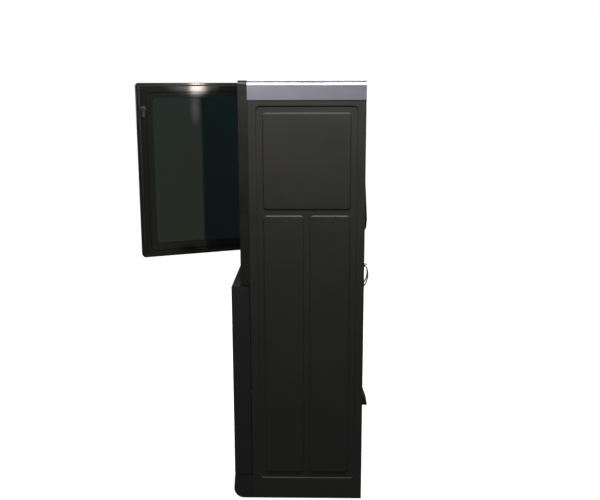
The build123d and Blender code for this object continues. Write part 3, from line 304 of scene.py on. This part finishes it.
# %% Idle display
low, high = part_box("display_screen")
finish, tree, shader, place = start_finish("display face", IOR=1.5, Emission_Strength=0.35)
axes = add(tree, "ShaderNodeSeparateXYZ", {"Vector": place}).outputs
flat = add(tree, "ShaderNodeCombineXYZ", {"X": axes["X"], "Y": axes["Z"]}).outputs["Vector"]
tiles = add(
    tree,
    "ShaderNodeTexBrick",
    {
        "Vector": flat,
        "Scale": 1.0,
        "Color1": linear("#16323c"),
        "Color2": linear("#1e4250"),
        "Mortar": linear("#05070a"),
        "Mortar Size": 5 * MM,
        "Brick Width": (high.x - low.x) / 3,
        "Row Height": (high.z - low.z) / 9,
    },
    offset=0.0,
)
glare = cloud(tree, place, 30, 4.0)
tree.links.new(tiles.outputs["Color"], shader.inputs["Emission Color"])
tree.links.new(two_tone(tree, glare, "#050607", "#08090b"), shader.inputs["Base Color"])
tree.links.new(between(tree, glare, 0.08, 0.16), shader.inputs["Roughness"])
finishes["screen_glass"] = finish
print("display face", [round(v, 3) for v in high - low])

# %% [markdown]
# ## Moulded plastics and rubber
#
# The fittings are moulded in ABS, whose mould was spark eroded: a fine pitted grain that keeps
# the surface dull. The buttons are clear-grained polycarbonate, smooth and a little see-through,
# the flaps are a smoked sheet of the same, and the seals are rubber, the dullest of all. One
# recipe serves them: a slow tone, a grain, and a roughness that wanders. The pits of the ABS are
# 0.8 mm apart and are drawn at 3 mm.

# %% Plastics and rubber
def moulded(slot, name, first, second, dull, grain_mm, grain_depth, **settings):
    finish, tree, shader, place = start_finish(name, IOR=1.53, **settings)
    tree.links.new(
        two_tone(tree, cloud(tree, place, 70, 4.0), first, second), shader.inputs["Base Color"]
    )
    tree.links.new(
        between(tree, cloud(tree, place, 35, 5.0), dull - 0.06, dull + 0.06),
        shader.inputs["Roughness"],
    )
    relief_of(tree, shader, cloud(tree, place, grain_mm, 3.0), grain_depth, 0.4)
    finishes[slot] = finish


moulded("black_plastic", "spark grained black abs", "#1a1a1b", "#212122", 0.5, 3.0, 0.06)
moulded("grey_plastic", "spark grained grey abs", "#3a3c3e", "#434547", 0.5, 3.0, 0.06)
moulded("black_rubber", "moulded rubber", "#0f0f0f", "#161615", 0.72, 4.0, 0.08)
moulded(
    "button_plastic", "translucent button polycarbonate", "#b9bec4", "#c6cacf", 0.22, 18.0, 0.01,
    Subsurface_Weight=0.25, Subsurface_Scale=4 * MM,
)
moulded("return_red", "red moulded polycarbonate", "#8a1a14", "#a02219", 0.24, 18.0, 0.01)
moulded(
    "clear_plastic", "smoked clear polycarbonate", "#8d959a", "#979fa3", 0.1, 40.0, 0.02,
    Transmission_Weight=0.9,
)
print("moulded finishes", len(finishes))

# %% [markdown]
# ## Paper and enamel
#
# The ticket stock is thermal card on a roll. From its end the roll shows the edges of a thousand
# turns, fine rings round the spindle, and from its side a matt paper. Each turn is 0.15 mm, drawn
# as rings 2.2 mm apart. The cash box is painted with a hammered enamel, whose dimples come from a
# silicone that pulls the wet paint apart into cells about 5 mm wide, drawn at 7 mm.

# %% Card roll
low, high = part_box("ticket_roll")
middle = (low + high) / 2
finish, tree, shader, place = start_finish("thermal card on a roll", Roughness=0.8)
hub = add(tree, "ShaderNodeVectorMath", {0: place, 1: middle}, operation="SUBTRACT")
flat = add(
    tree, "ShaderNodeVectorMath", {0: hub.outputs["Vector"], 1: (0.0, 1.0, 1.0)}, operation="MULTIPLY"
)
radius = add(tree, "ShaderNodeVectorMath", {0: flat.outputs["Vector"]}, operation="LENGTH")
turns = add(
    tree, "ShaderNodeMath", {0: radius.outputs["Value"], 1: 2 * pi / (2.2 * MM)}, operation="MULTIPLY"
)
wave = add(tree, "ShaderNodeMath", {0: turns.outputs["Value"]}, operation="SINE")
rings = add(tree, "ShaderNodeMapRange", {"Value": wave.outputs["Value"], "From Min": -1.0})
blot = add(
    tree,
    "ShaderNodeMix",
    {"Factor": 0.5, "A": rings.outputs["Result"], "B": cloud(tree, place, 20, 5.0)},
)
tree.links.new(
    two_tone(tree, blot.outputs["Result"], "#dcd8cb", "#efece2"), shader.inputs["Base Color"]
)
relief_of(tree, shader, rings.outputs["Result"], 0.1, 0.3)
finishes["ticket_paper"] = finish

finish, tree, shader, place = start_finish("hammered enamel", Coat_Weight=0.3, Coat_Roughness=0.15)
cells = add(tree, "ShaderNodeTexVoronoi", {"Vector": place, "Scale": per_mm(7)}, feature="SMOOTH_F1")
tree.links.new(
    two_tone(tree, cells.outputs["Distance"], "#56626c", "#48545d"), shader.inputs["Base Color"]
)
tree.links.new(
    between(tree, cells.outputs["Distance"], 0.3, 0.42), shader.inputs["Roughness"]
)
relief_of(tree, shader, cells.outputs["Distance"], 0.35, 0.5)
finishes["cash_enamel"] = finish
print("roll radius", round((high.z - low.z) / 2, 4), "finishes", len(finishes))

# %% [markdown]
# ## Painting the measured parts
#
# The record of the machine says which finish each part takes, so one loop paints them all.

# %% Finishes onto parts
for name, part in nodes.items():
    part.data.materials.clear()
    part.data.materials.append(finishes[slot_of[name]])
print("painted", len(nodes), "parts with", len(set(slot_of.values())), "finishes")

# %% [markdown]
# ## Placing a new piece
#
# A new mesh has to move with the body that it belongs to, stand for the part that it improves and
# carry that part's finish. `settle` does this for every piece. A mesh that has no normals of its
# own is shaded smooth wherever two faces meet at less than thirty degrees, which keeps real edges
# crisp.

# %% Settling a piece
def settle(piece, body, slot, stands_for=()):
    piece.data.materials.clear()
    piece.data.materials.append(finishes[slot])
    if not piece.data.has_custom_normals:
        smooth_below(piece, 30)
    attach(piece, body)
    if stands_for:
        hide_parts(*stands_for)
    return piece


def piece_from(name, mesh):
    """A new object from a bmesh, with its faces turned outwards."""
    bmesh.ops.recalc_face_normals(mesh, faces=mesh.faces)
    data = bpy.data.meshes.new(name)
    mesh.to_mesh(data)
    mesh.free()
    piece = bpy.data.objects.new(name, data)
    scene.collection.objects.link(piece)
    return piece


def smooth_below(piece, degrees):
    for face in piece.data.polygons:
        face.use_smooth = True
    piece.data.set_sharp_from_angle(angle=radians(degrees))


def apply_modifiers(piece):
    """Turns what a piece's modifiers show into its own mesh."""
    shown = piece.evaluated_get(bpy.context.evaluated_depsgraph_get())
    data = bpy.data.meshes.new_from_object(shown)
    piece.modifiers.clear()
    piece.data = data


def softened(name, node, edge_mm, steps=3):
    """A copy of a measured part whose sharp edges are rounded and whose flats still look flat."""
    mesh = bmesh.new()
    mesh.from_mesh(nodes[node].data)
    bmesh.ops.remove_doubles(mesh, verts=mesh.verts, dist=0.005 * MM)
    bmesh.ops.dissolve_limit(mesh, angle_limit=radians(1), verts=mesh.verts, edges=mesh.edges)
    piece = piece_from(name, mesh)
    bevel = piece.modifiers.new("round edges", "BEVEL")
    bevel.width = edge_mm * MM
    bevel.segments = steps
    bevel.limit_method = "ANGLE"
    bevel.angle_limit = radians(40)
    bevel.use_clamp_overlap = True
    apply_modifiers(piece)
    smooth_below(piece, 50)
    flats = piece.modifiers.new("flats stay flat", "WEIGHTED_NORMAL")
    flats.mode = "FACE_AREA"
    flats.weight = 100
    flats.keep_sharp = True
    apply_modifiers(piece)
    return settle(piece, body_of[node], slot_of[node], [node])


# %% [markdown]
# ## The pressed sides
#
# Each side is one sheet, drawn in a press. A groove runs round it and across it, and leaves three
# raised fields: one above, two tall ones below. A press cannot make a sharp corner, so the walls
# roll from face to groove floor. It could be cut from a block and bevelled, but the corners would
# fight. Instead a grid stands for the sheet, ruled finely where the walls are and widely
# elsewhere, and each crossing is pushed in by the depth of the groove there, worked out from its
# distance to the rounded outlines.

# %% Depth of the pressing
DEPTH = 4.5 * MM
WALL = DEPTH * tan(radians(52))
GROOVE = 34 * MM
CORNER = 15 * MM
BORDER = 31 * MM  # the flat border of the sheet in front of the groove and behind it
panel_low, panel_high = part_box("side_panel_right")
groove_y = (panel_low.y + BORDER, panel_high.y - BORDER)
groove_z = (98 * MM, 1732 * MM)
cross = 1293.5 * MM
field_y = (groove_y[0] + GROOVE - WALL, groove_y[1] - GROOVE + WALL)
split = GROOVE / 2 - WALL
fields = [
    (*field_y, cross + split, groove_z[1] - GROOVE + WALL),
    (field_y[0], -split, groove_z[0] + GROOVE - WALL, cross - split),
    (split, field_y[1], groove_z[0] + GROOVE - WALL, cross - split),
]


def past_outline(y, z, outline, corner):
    """Distance from a point to a rounded rectangle, negative inside it."""
    y0, y1, z0, z1 = outline
    across = abs(y - (y0 + y1) / 2) - (y1 - y0) / 2 + corner
    up = abs(z - (z0 + z1) / 2) - (z1 - z0) / 2 + corner
    return hypot(max(across, 0), max(up, 0)) + min(max(across, up), 0) - corner


def eased(share):
    """Goes from 0 to 1 with a level start and end, as drawn sheet does."""
    share = min(max(share, 0.0), 1.0)
    return share * share * (3 - 2 * share)


def pressed_in(y, z):
    """How far the sheet is pushed in at a point of the panel."""
    share = eased(-past_outline(y, z, (*groove_y, *groove_z), CORNER + WALL) / WALL)
    for outline in fields:
        share = min(share, eased(1 + past_outline(y, z, outline, CORNER) / WALL))
    return DEPTH * share


print("groove floor", pressed_in(groove_y[0] + GROOVE / 2, 0.7), "field", pressed_in(0.1, 1.5))

# %% Ruling the sheet
def ruled(low, high, walls, fine, wide):
    """Positions from low to high, close together near the walls and at both ends."""
    reach = CORNER + WALL + 2 * MM
    places = {low, high}
    for edge in (0.4, 1.2, 2.4):
        places |= {low + edge * MM, high - edge * MM}
    for start, end in walls:
        start, end = start - MM, end + MM
        steps = ceil((end - start) / fine)
        places |= {start + (end - start) * n / steps for n in range(steps + 1)}
        for a, b in ((start - reach, start), (end, end + reach)):
            steps = ceil((b - a) / (2 * fine))
            places |= {a + (b - a) * n / steps for n in range(1, steps)}
    ordered = [low]
    for place in sorted(places):
        if place - ordered[-1] < 0.3 * MM or place > high:
            continue
        gap = place - ordered[-1]
        steps = ceil(gap / wide)
        ordered += [place - gap * (steps - n) / steps for n in range(1, steps)] + [place]
    return ordered


def walls_of(outer, inner):
    """The stretches of wall between the groove's outer edges and the fields' edges."""
    return [(outer[0], outer[0] + WALL), (outer[1] - WALL, outer[1])] + [
        (a - WALL, a + WALL) for a in inner
    ]


rule_y = ruled(
    panel_low.y,
    panel_high.y,
    walls_of(groove_y, [*field_y, -split, split]),
    1.2 * MM,
    40 * MM,
)
rule_z = ruled(
    panel_low.z,
    panel_high.z,
    walls_of(groove_z, [fields[0][2], fields[0][3], fields[1][2], fields[1][3]]),
    1.2 * MM,
    40 * MM,
)
print("lines across", len(rule_y), "and up", len(rule_z))

# %% Both sides
SHEET = 2 * MM
FOLD = 2.4 * MM
FLANGE = 30 * MM
FLANGE_FOOT = 100 * MM
REAR_INSET = 10.5 * MM  # how far the rear flange stands ahead of the sheet's rear edge


def side_skin(name, node, side):
    """The pressed sheet, rolled over at its front and back edges, with its folded flanges."""
    face = panel_high.x
    mesh = bmesh.new()
    grid = []
    for y in rule_y:
        rim = min(y - panel_low.y, panel_high.y - y)
        fold = FOLD - sqrt(max(FOLD**2 - (FOLD - rim) ** 2, 0.0)) if rim < FOLD else 0.0
        grid.append([mesh.verts.new((side * (face - fold - pressed_in(y, z)), y, z)) for z in rule_z])
    for left, right in zip(grid, grid[1:]):
        for n in range(len(rule_z) - 1):
            mesh.faces.new((left[n], right[n], right[n + 1], left[n + 1]))
    piece = piece_from(name, mesh)
    if piece.data.polygons[0].normal.x * side < 0:
        piece.data.flip_normals()
    sheet = piece.modifiers.new("sheet thickness", "SOLIDIFY")
    sheet.thickness = SHEET
    sheet.offset = -1.0
    apply_modifiers(piece)
    mesh = bmesh.new()
    mesh.from_mesh(piece.data)
    inner = face - DEPTH - SHEET
    flanges = (
        (panel_low.y, panel_low.y + SHEET),
        (panel_high.y - REAR_INSET - SHEET, panel_high.y - REAR_INSET),
    )
    for y0, y1 in flanges:
        low = Vector((inner - FLANGE, y0, FLANGE_FOOT))
        high = Vector((face - SHEET, y1, panel_high.z))
        made = bmesh.ops.create_cube(mesh, size=1.0)["verts"]
        for vert in made:
            share = vert.co + Vector((0.5, 0.5, 0.5))
            vert.co = low + Vector([share[n] * (high[n] - low[n]) for n in range(3)])
            vert.co.x *= side
    bmesh.ops.recalc_face_normals(mesh, faces=mesh.faces)
    mesh.to_mesh(piece.data)
    mesh.free()
    return settle(piece, "cabinet", "charcoal_coat", [node])


for name, node, side in (
    ("side_skin_right", "side_panel_right", 1),
    ("side_skin_left", "side_panel_left", -1),
):
    skin = side_skin(name, node, side)
    print(name, "faces", len(skin.data.polygons))

# %% [markdown]
# ## Softer edges
#
# Folded sheet and lacquered posts have no knife edges, and it is the narrow light along a rounded
# edge that shows the eye where a dark part ends. Each of these parts is copied, its flat faces
# are joined again, and its edges are rounded: by a millimetre or so, and by 3 mm on the bezel.

# %% Rounded copies
for node, edge_mm in {
    "kick_plinth": 1.2,
    "roof_panel": 1.0,
    "mid_rail": 1.0,
    "rear_hatch": 0.8,
    "vent_hood": 0.6,
    "cable_hood": 0.8,
    "upper_door_frame": 1.6,
    "door_inner_bezel": 3.0,
    "front_post_right": 1.0,
    "front_post_left": 1.0,
    "lower_door_shell": 0.8,
}.items():
    piece = softened(node + "_soft", node, edge_mm)
    print(piece.name, "faces", len(piece.data.polygons))

# %% [markdown]
# ## Rubber beads on the glass door, darkened as painted shadow lines
#
# The inner bezel sits a few millimetres inside the door frame, and a flat rubber bead fills the
# joint between them. A second, narrower bead runs round the edge of the glass. Both are drawn as
# rounded rings lying in the plane of the door, which stands open, so the ring is laid out along
# the door's own width and height and then turned into the room. The real beads are 3 mm wide and
# would be lost from here, so they are drawn at 6 and 4 mm. They are EPDM rubber with carbon black
# in it, made the darkest and dullest thing on the machine: that near black is painted shade, the
# line of shadow in the joints, and it is darker than the rubber itself.

# %% Beads
shadow_line_rubber, tree, shader, place = start_finish("carbon black EPDM rubber darkened as joint shadow", Specular_IOR_Level=0.08)
# The near-black tone is painted shade: it stands for the shadow in the joint, darker than the rubber
# itself.
tone = two_tone(tree, cloud(tree, place, 30, 4.0), "#040404", "#080807")
tree.links.new(tone, shader.inputs["Base Color"])
tree.links.new(between(tree, cloud(tree, place, 12, 3.0), 0.8, 0.95), shader.inputs["Roughness"])
# The door stands open by 67.4 degrees, so it is this far short of square to the cabinet's front.
SWING = radians(90 - 67.4)
across = Vector((-sin(SWING), cos(SWING), 0.0))
outward = Vector((cos(SWING), sin(SWING), 0.0))


def reach(node, way):
    """How far a measured part goes along one direction."""
    placed = nodes[node].matrix_world
    steps = [(placed @ corner.co).dot(way) for corner in nodes[node].data.vertices]
    return min(steps), max(steps)


def rounded_loop(left, right, low, high, radius, steps=8):
    """Points round a rectangle with round corners, as (across, up) pairs."""
    loop = []
    for middle, turn in (
        ((right - radius, high - radius), 0),
        ((left + radius, high - radius), 90),
        ((left + radius, low + radius), 180),
        ((right - radius, low + radius), 270),
    ):
        for step in range(steps + 1):
            angle = radians(turn + 90 * step / steps)
            loop.append((middle[0] + radius * cos(angle), middle[1] + radius * sin(angle)))
    return loop


def bead(name, outline, radius, width, level, thick):
    """A flat ring of near-black rubber inside an outline, lying at one level of the door's thickness;
    its darkness is painted joint shadow.
    """
    left, right, low, high = outline
    outer = rounded_loop(left, right, low, high, radius)
    inner = rounded_loop(left + width, right - width, low + width, high - width, radius - width)
    mesh = bmesh.new()
    rings = []
    over = level + thick
    for loop, depth in ((outer, level), (outer, over), (inner, over), (inner, level)):
        shift = outward * depth
        rings.append([mesh.verts.new(across * s + shift + Vector((0, 0, up))) for s, up in loop])
    count = len(outer)
    for here, there in zip(rings, rings[1:] + rings[:1]):
        for i in range(count):
            j = (i + 1) % count
            mesh.faces.new((here[i], here[j], there[j], there[i]))
    piece = settle(piece_from(name, mesh), body_of["door_inner_bezel"], slot_of["glazing_seal"])
    # The ring takes the rubber darkened as painted joint shadow, in place of the seal's own finish.
    piece.data.materials[0] = shadow_line_rubber
    return piece


left, right = reach("door_inner_bezel", across)
low, high = reach("door_inner_bezel", Vector((0, 0, 1)))
face = reach("door_inner_bezel", outward)[1]
JOINT = 1.3 * MM
rim = (left - JOINT, right + JOINT, low - JOINT, high + JOINT)
ring = bead("bezel_shadow_bead", rim, 15 * MM, 6 * MM, face - 0.5 * MM, 1.2 * MM)
print(ring.name, "at", round(face, 4), "m out from the origin")
STILE, CROWN = 30.5 * MM, 26 * MM  # the bezel's width beside and under the glass, and above it
rim = (left + STILE, right - STILE, low + STILE, high - CROWN)
ring = bead("glass_shadow_bead", rim, 22 * MM, 4 * MM, face - 1.5 * MM, 1.0 * MM)
print(ring.name, "round an opening of", [round(v, 3) for v in rim])

# %% [markdown]
# ## Floor and light
#
# A pale floor runs off in every direction under a white sky, as in a studio cove. Dark
# things are lit mostly by what they reflect, so the sky and the floor that the machine sees are
# greyer than the ones we see: otherwise its black coats would turn grey. Through the dark glass
# the sky is as dim as the floor, so that no horizon shows there. A big soft light hangs overhead,
# which is why the sides are lightest at the top, and three more fill the other sides.

# %% Sky and floor
SKY_GREY = 0.17
FLOOR_GREY = 0.08
world = bpy.data.worlds.new("studio")
scene.world = world
world.use_nodes = True
tree = world.node_tree
path = add(tree, "ShaderNodeLightPath").outputs
seen = path["Is Camera Ray"]
through = path["Is Transmission Ray"]
dimmed = add(
    tree,
    "ShaderNodeMath",
    {0: through, 1: FLOOR_GREY - SKY_GREY, 2: SKY_GREY},
    operation="MULTIPLY_ADD",
)
sky = add(tree, "ShaderNodeBackground", {"Color": (1, 1, 1, 1), "Strength": 1.0})
glow = add(tree, "ShaderNodeBackground", {"Color": (1, 1, 1, 1), "Strength": dimmed.outputs["Value"]})
both = add(tree, "ShaderNodeMixShader", {"Fac": seen})
tree.links.new(glow.outputs["Background"], both.inputs[1])
tree.links.new(sky.outputs["Background"], both.inputs[2])
tree.links.new(both.outputs["Shader"], tree.nodes["World Output"].inputs["Surface"])

mesh = bmesh.new()
bmesh.ops.create_grid(mesh, x_segments=1, y_segments=1, size=30.0)
floor = piece_from("studio_floor", mesh)
paper, tree, shader, place = start_finish(
    "matt white floor", Base_Color=linear("#f4f4f2"), Roughness=0.9
)
seen = add(tree, "ShaderNodeLightPath").outputs["Is Camera Ray"]
lit = add(tree, "ShaderNodeEmission", {"Color": (1, 1, 1, 1), "Strength": 0.88})
grey = add(tree, "ShaderNodeEmission", {"Color": (1, 1, 1, 1), "Strength": FLOOR_GREY})
bright = add(tree, "ShaderNodeAddShader", {0: shader.outputs["BSDF"], 1: lit.outputs["Emission"]})
both = add(tree, "ShaderNodeMixShader", {"Fac": seen})
tree.links.new(grey.outputs["Emission"], both.inputs[1])
tree.links.new(bright.outputs["Shader"], both.inputs[2])
tree.links.new(both.outputs["Shader"], tree.nodes["Material Output"].inputs["Surface"])
floor.data.materials.append(paper)
print("floor", floor.name, "side", floor.dimensions.x)

# %% Soft lights
def softbox(name, place, aim, width, height, watts):
    lamp = bpy.data.lights.new(name, "AREA")
    lamp.shape = "RECTANGLE"
    lamp.size = width
    lamp.size_y = height
    lamp.energy = watts
    holder = bpy.data.objects.new(name, lamp)
    holder.location = place
    holder.rotation_euler = (Vector(aim) - Vector(place)).to_track_quat("-Z", "Y").to_euler()
    scene.collection.objects.link(holder)
    return holder


softbox("overhead_softbox", (0.9, 0.0, 2.45), (0.9, 0.0, 0.0), 0.5, 1.2, 19)
softbox("front_softbox", (-0.8, -3.6, 2.4), (0.0, 0.0, 1.0), 1.8, 1.8, 40)
softbox("rear_softbox", (-0.6, 3.6, 2.6), (0.0, 0.0, 1.0), 1.8, 1.8, 40)
softbox("far_side_softbox", (-3.4, 0.3, 2.6), (0.0, 0.0, 1.0), 1.8, 1.8, 40)

# %% [markdown]
# A gloss surface shows what stands in front of it, so what the glass door mirrors is chosen too.
# The half of the pane by its free edge looks past the cabinet into the room, where a tall card
# glows faintly green above and olive below. The half by the hinge looks into the cabinet's own
# opening, so its cards stand just ahead of the opening: the same glow, ending in a soft edge, and
# beyond it a darker one. A soft spot, a lamp level with the top rail, and a haze round that lamp
# give the patch of light where the two meet. The last card is for the bright band on the side.
# Cards are seen by mirrors only, and only from in front: they light nothing and hide nothing.

# %% Cards for the glass door to mirror
pane_low, pane_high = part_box("door_glass")


def mirrored(share, height, away):
    """Where a mirror ray goes that leaves the camera and meets the pane at a share of its width."""
    point = Vector((pane_high.x, pane_low.y, height)).lerp(
        Vector((pane_low.x, pane_high.y, height)), share
    )
    ray = (point - camera.matrix_world.translation).normalized()
    ray -= 2 * ray.dot(outward) * outward
    return point + ray * away


def card(name, left, right, low, high, top, bottom, soft=0.0, spot=False):
    """An upright card that glows on its far side, from a top colour to a bottom one.

    Its right edge can fade out, or the whole card can fade from its middle as a spot does.
    """
    mesh = bmesh.new()
    ends = ((0, 0, 0), (1, 0, 0), (1, 0, 1), (0, 0, 1))
    mesh.faces.new([mesh.verts.new(end) for end in ends])
    data = bpy.data.meshes.new(name)
    mesh.to_mesh(data)
    mesh.free()
    sheet = bpy.data.objects.new(name, data)
    scene.collection.objects.link(sheet)
    run = Vector((right.x - left.x, right.y - left.y, 0.0))
    sheet.matrix_world = Matrix(
        ((run.x, -run.y, 0, left.x), (run.y, run.x, 0, left.y), (0, 0, high - low, low), (0, 0, 0, 1))
    )
    finish = bpy.data.materials.new(name + " glow")
    finish.use_nodes = True
    tree = finish.node_tree
    place = add(tree, "ShaderNodeTexCoord").outputs["Generated"]
    axes = add(tree, "ShaderNodeSeparateXYZ", {"Vector": place}).outputs
    tone = add(tree, "ShaderNodeMix", {"Factor": axes["Z"]}, data_type="RGBA")
    tone.inputs[6].default_value = (*bottom, 1.0)
    tone.inputs[7].default_value = (*top, 1.0)
    glow = add(tree, "ShaderNodeEmission", {"Color": tone.outputs[2], "Strength": 1.0})
    if spot:
        centred = add(
            tree,
            "ShaderNodeMapping",
            {"Vector": place, "Location": (-1, 0, -1), "Scale": (2, 0, 2)},
        ).outputs["Vector"]
        fade = add(
            tree, "ShaderNodeTexGradient", {"Vector": centred}, gradient_type="SPHERICAL"
        ).outputs["Fac"]
    else:
        fade = add(
            tree,
            "ShaderNodeMapRange",
            {
                "Value": axes["X"],
                "From Min": 1.0 - soft,
                "From Max": 1.001,
                "To Min": 1.0,
                "To Max": 0.0,
            },
            interpolation_type="SMOOTHSTEP",
        ).outputs["Result"]
    behind = add(tree, "ShaderNodeNewGeometry").outputs["Backfacing"]
    shown = add(tree, "ShaderNodeMath", {0: fade, 1: behind}, operation="MULTIPLY")
    clear = add(tree, "ShaderNodeBsdfTransparent")
    both = add(tree, "ShaderNodeMixShader", {"Fac": shown.outputs["Value"]})
    tree.links.new(clear.outputs["BSDF"], both.inputs[1])
    tree.links.new(glow.outputs["Emission"], both.inputs[2])
    tree.links.new(both.outputs["Shader"], tree.nodes["Material Output"].inputs["Surface"])
    data.materials.append(finish)
    sheet.visible_camera = False
    sheet.visible_diffuse = False
    sheet.visible_transmission = False
    sheet.visible_shadow = False
    return sheet


AWAY = 3.0
UPPER = (0.37, 0.52, 0.45)
LOWER = (0.40, 0.42, 0.27)
BAND_TINT = (0.98, 0.94, 1.07)
SPOT = (1.7, 1.7, 1.8)
HAZE = (9.0, 8.4, 8.1)
opening_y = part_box("front_post_right")[0].y - 6 * MM
card("far_card", mirrored(-0.02, 1.5, AWAY), mirrored(0.5, 1.5, AWAY), 0.0, 1.9, UPPER, LOWER)
# Each card at the opening: where it starts and ends across the machine, how many millimetres it
# stands ahead of the first one, its foot and its top, its colours, and how it fades.
for name, start, end, ahead, low, high, top, bottom, fade in (
    ("near_card_bright", 0.315, 0.095, 0.0, 0.9, 1.84, UPPER, LOWER, {"soft": 0.12}),
    ("near_card_dim", 0.10, -0.3, -1.0, 0.9, 1.84, (0.03, 0.16, 0.14), (0.0, 0.02, 0.03), {}),
    ("near_spot", 0.21, 0.11, 1.0, 1.6, 1.8, SPOT, SPOT, {"spot": True}),
    ("near_lamp", 0.2, 0.05, 2.0, 1.776, 1.84, (105, 91, 82), (60, 52, 47), {"soft": 0.85}),
    ("near_haze", 0.45, -0.05, 1.5, 1.775, 1.845, HAZE, HAZE, {"spot": True}),
):
    place_y = opening_y - ahead * MM
    left, right = Vector((start, place_y, 0)), Vector((end, place_y, 0))
    sheet = card(name, left, right, low, high, top, bottom, **fade)
    print(sheet.name, "width", round(start - end, 3))
left, right = Vector((4.3, -1.6, 0)), Vector((4.3, 0.8, 0))
card("band_card", left, right, 1.62, 2.8, BAND_TINT, BAND_TINT, soft=0.7)
print("mirror ray meets the cards at", [round(v, 2) for v in mirrored(0.54, 1.8, AWAY)])
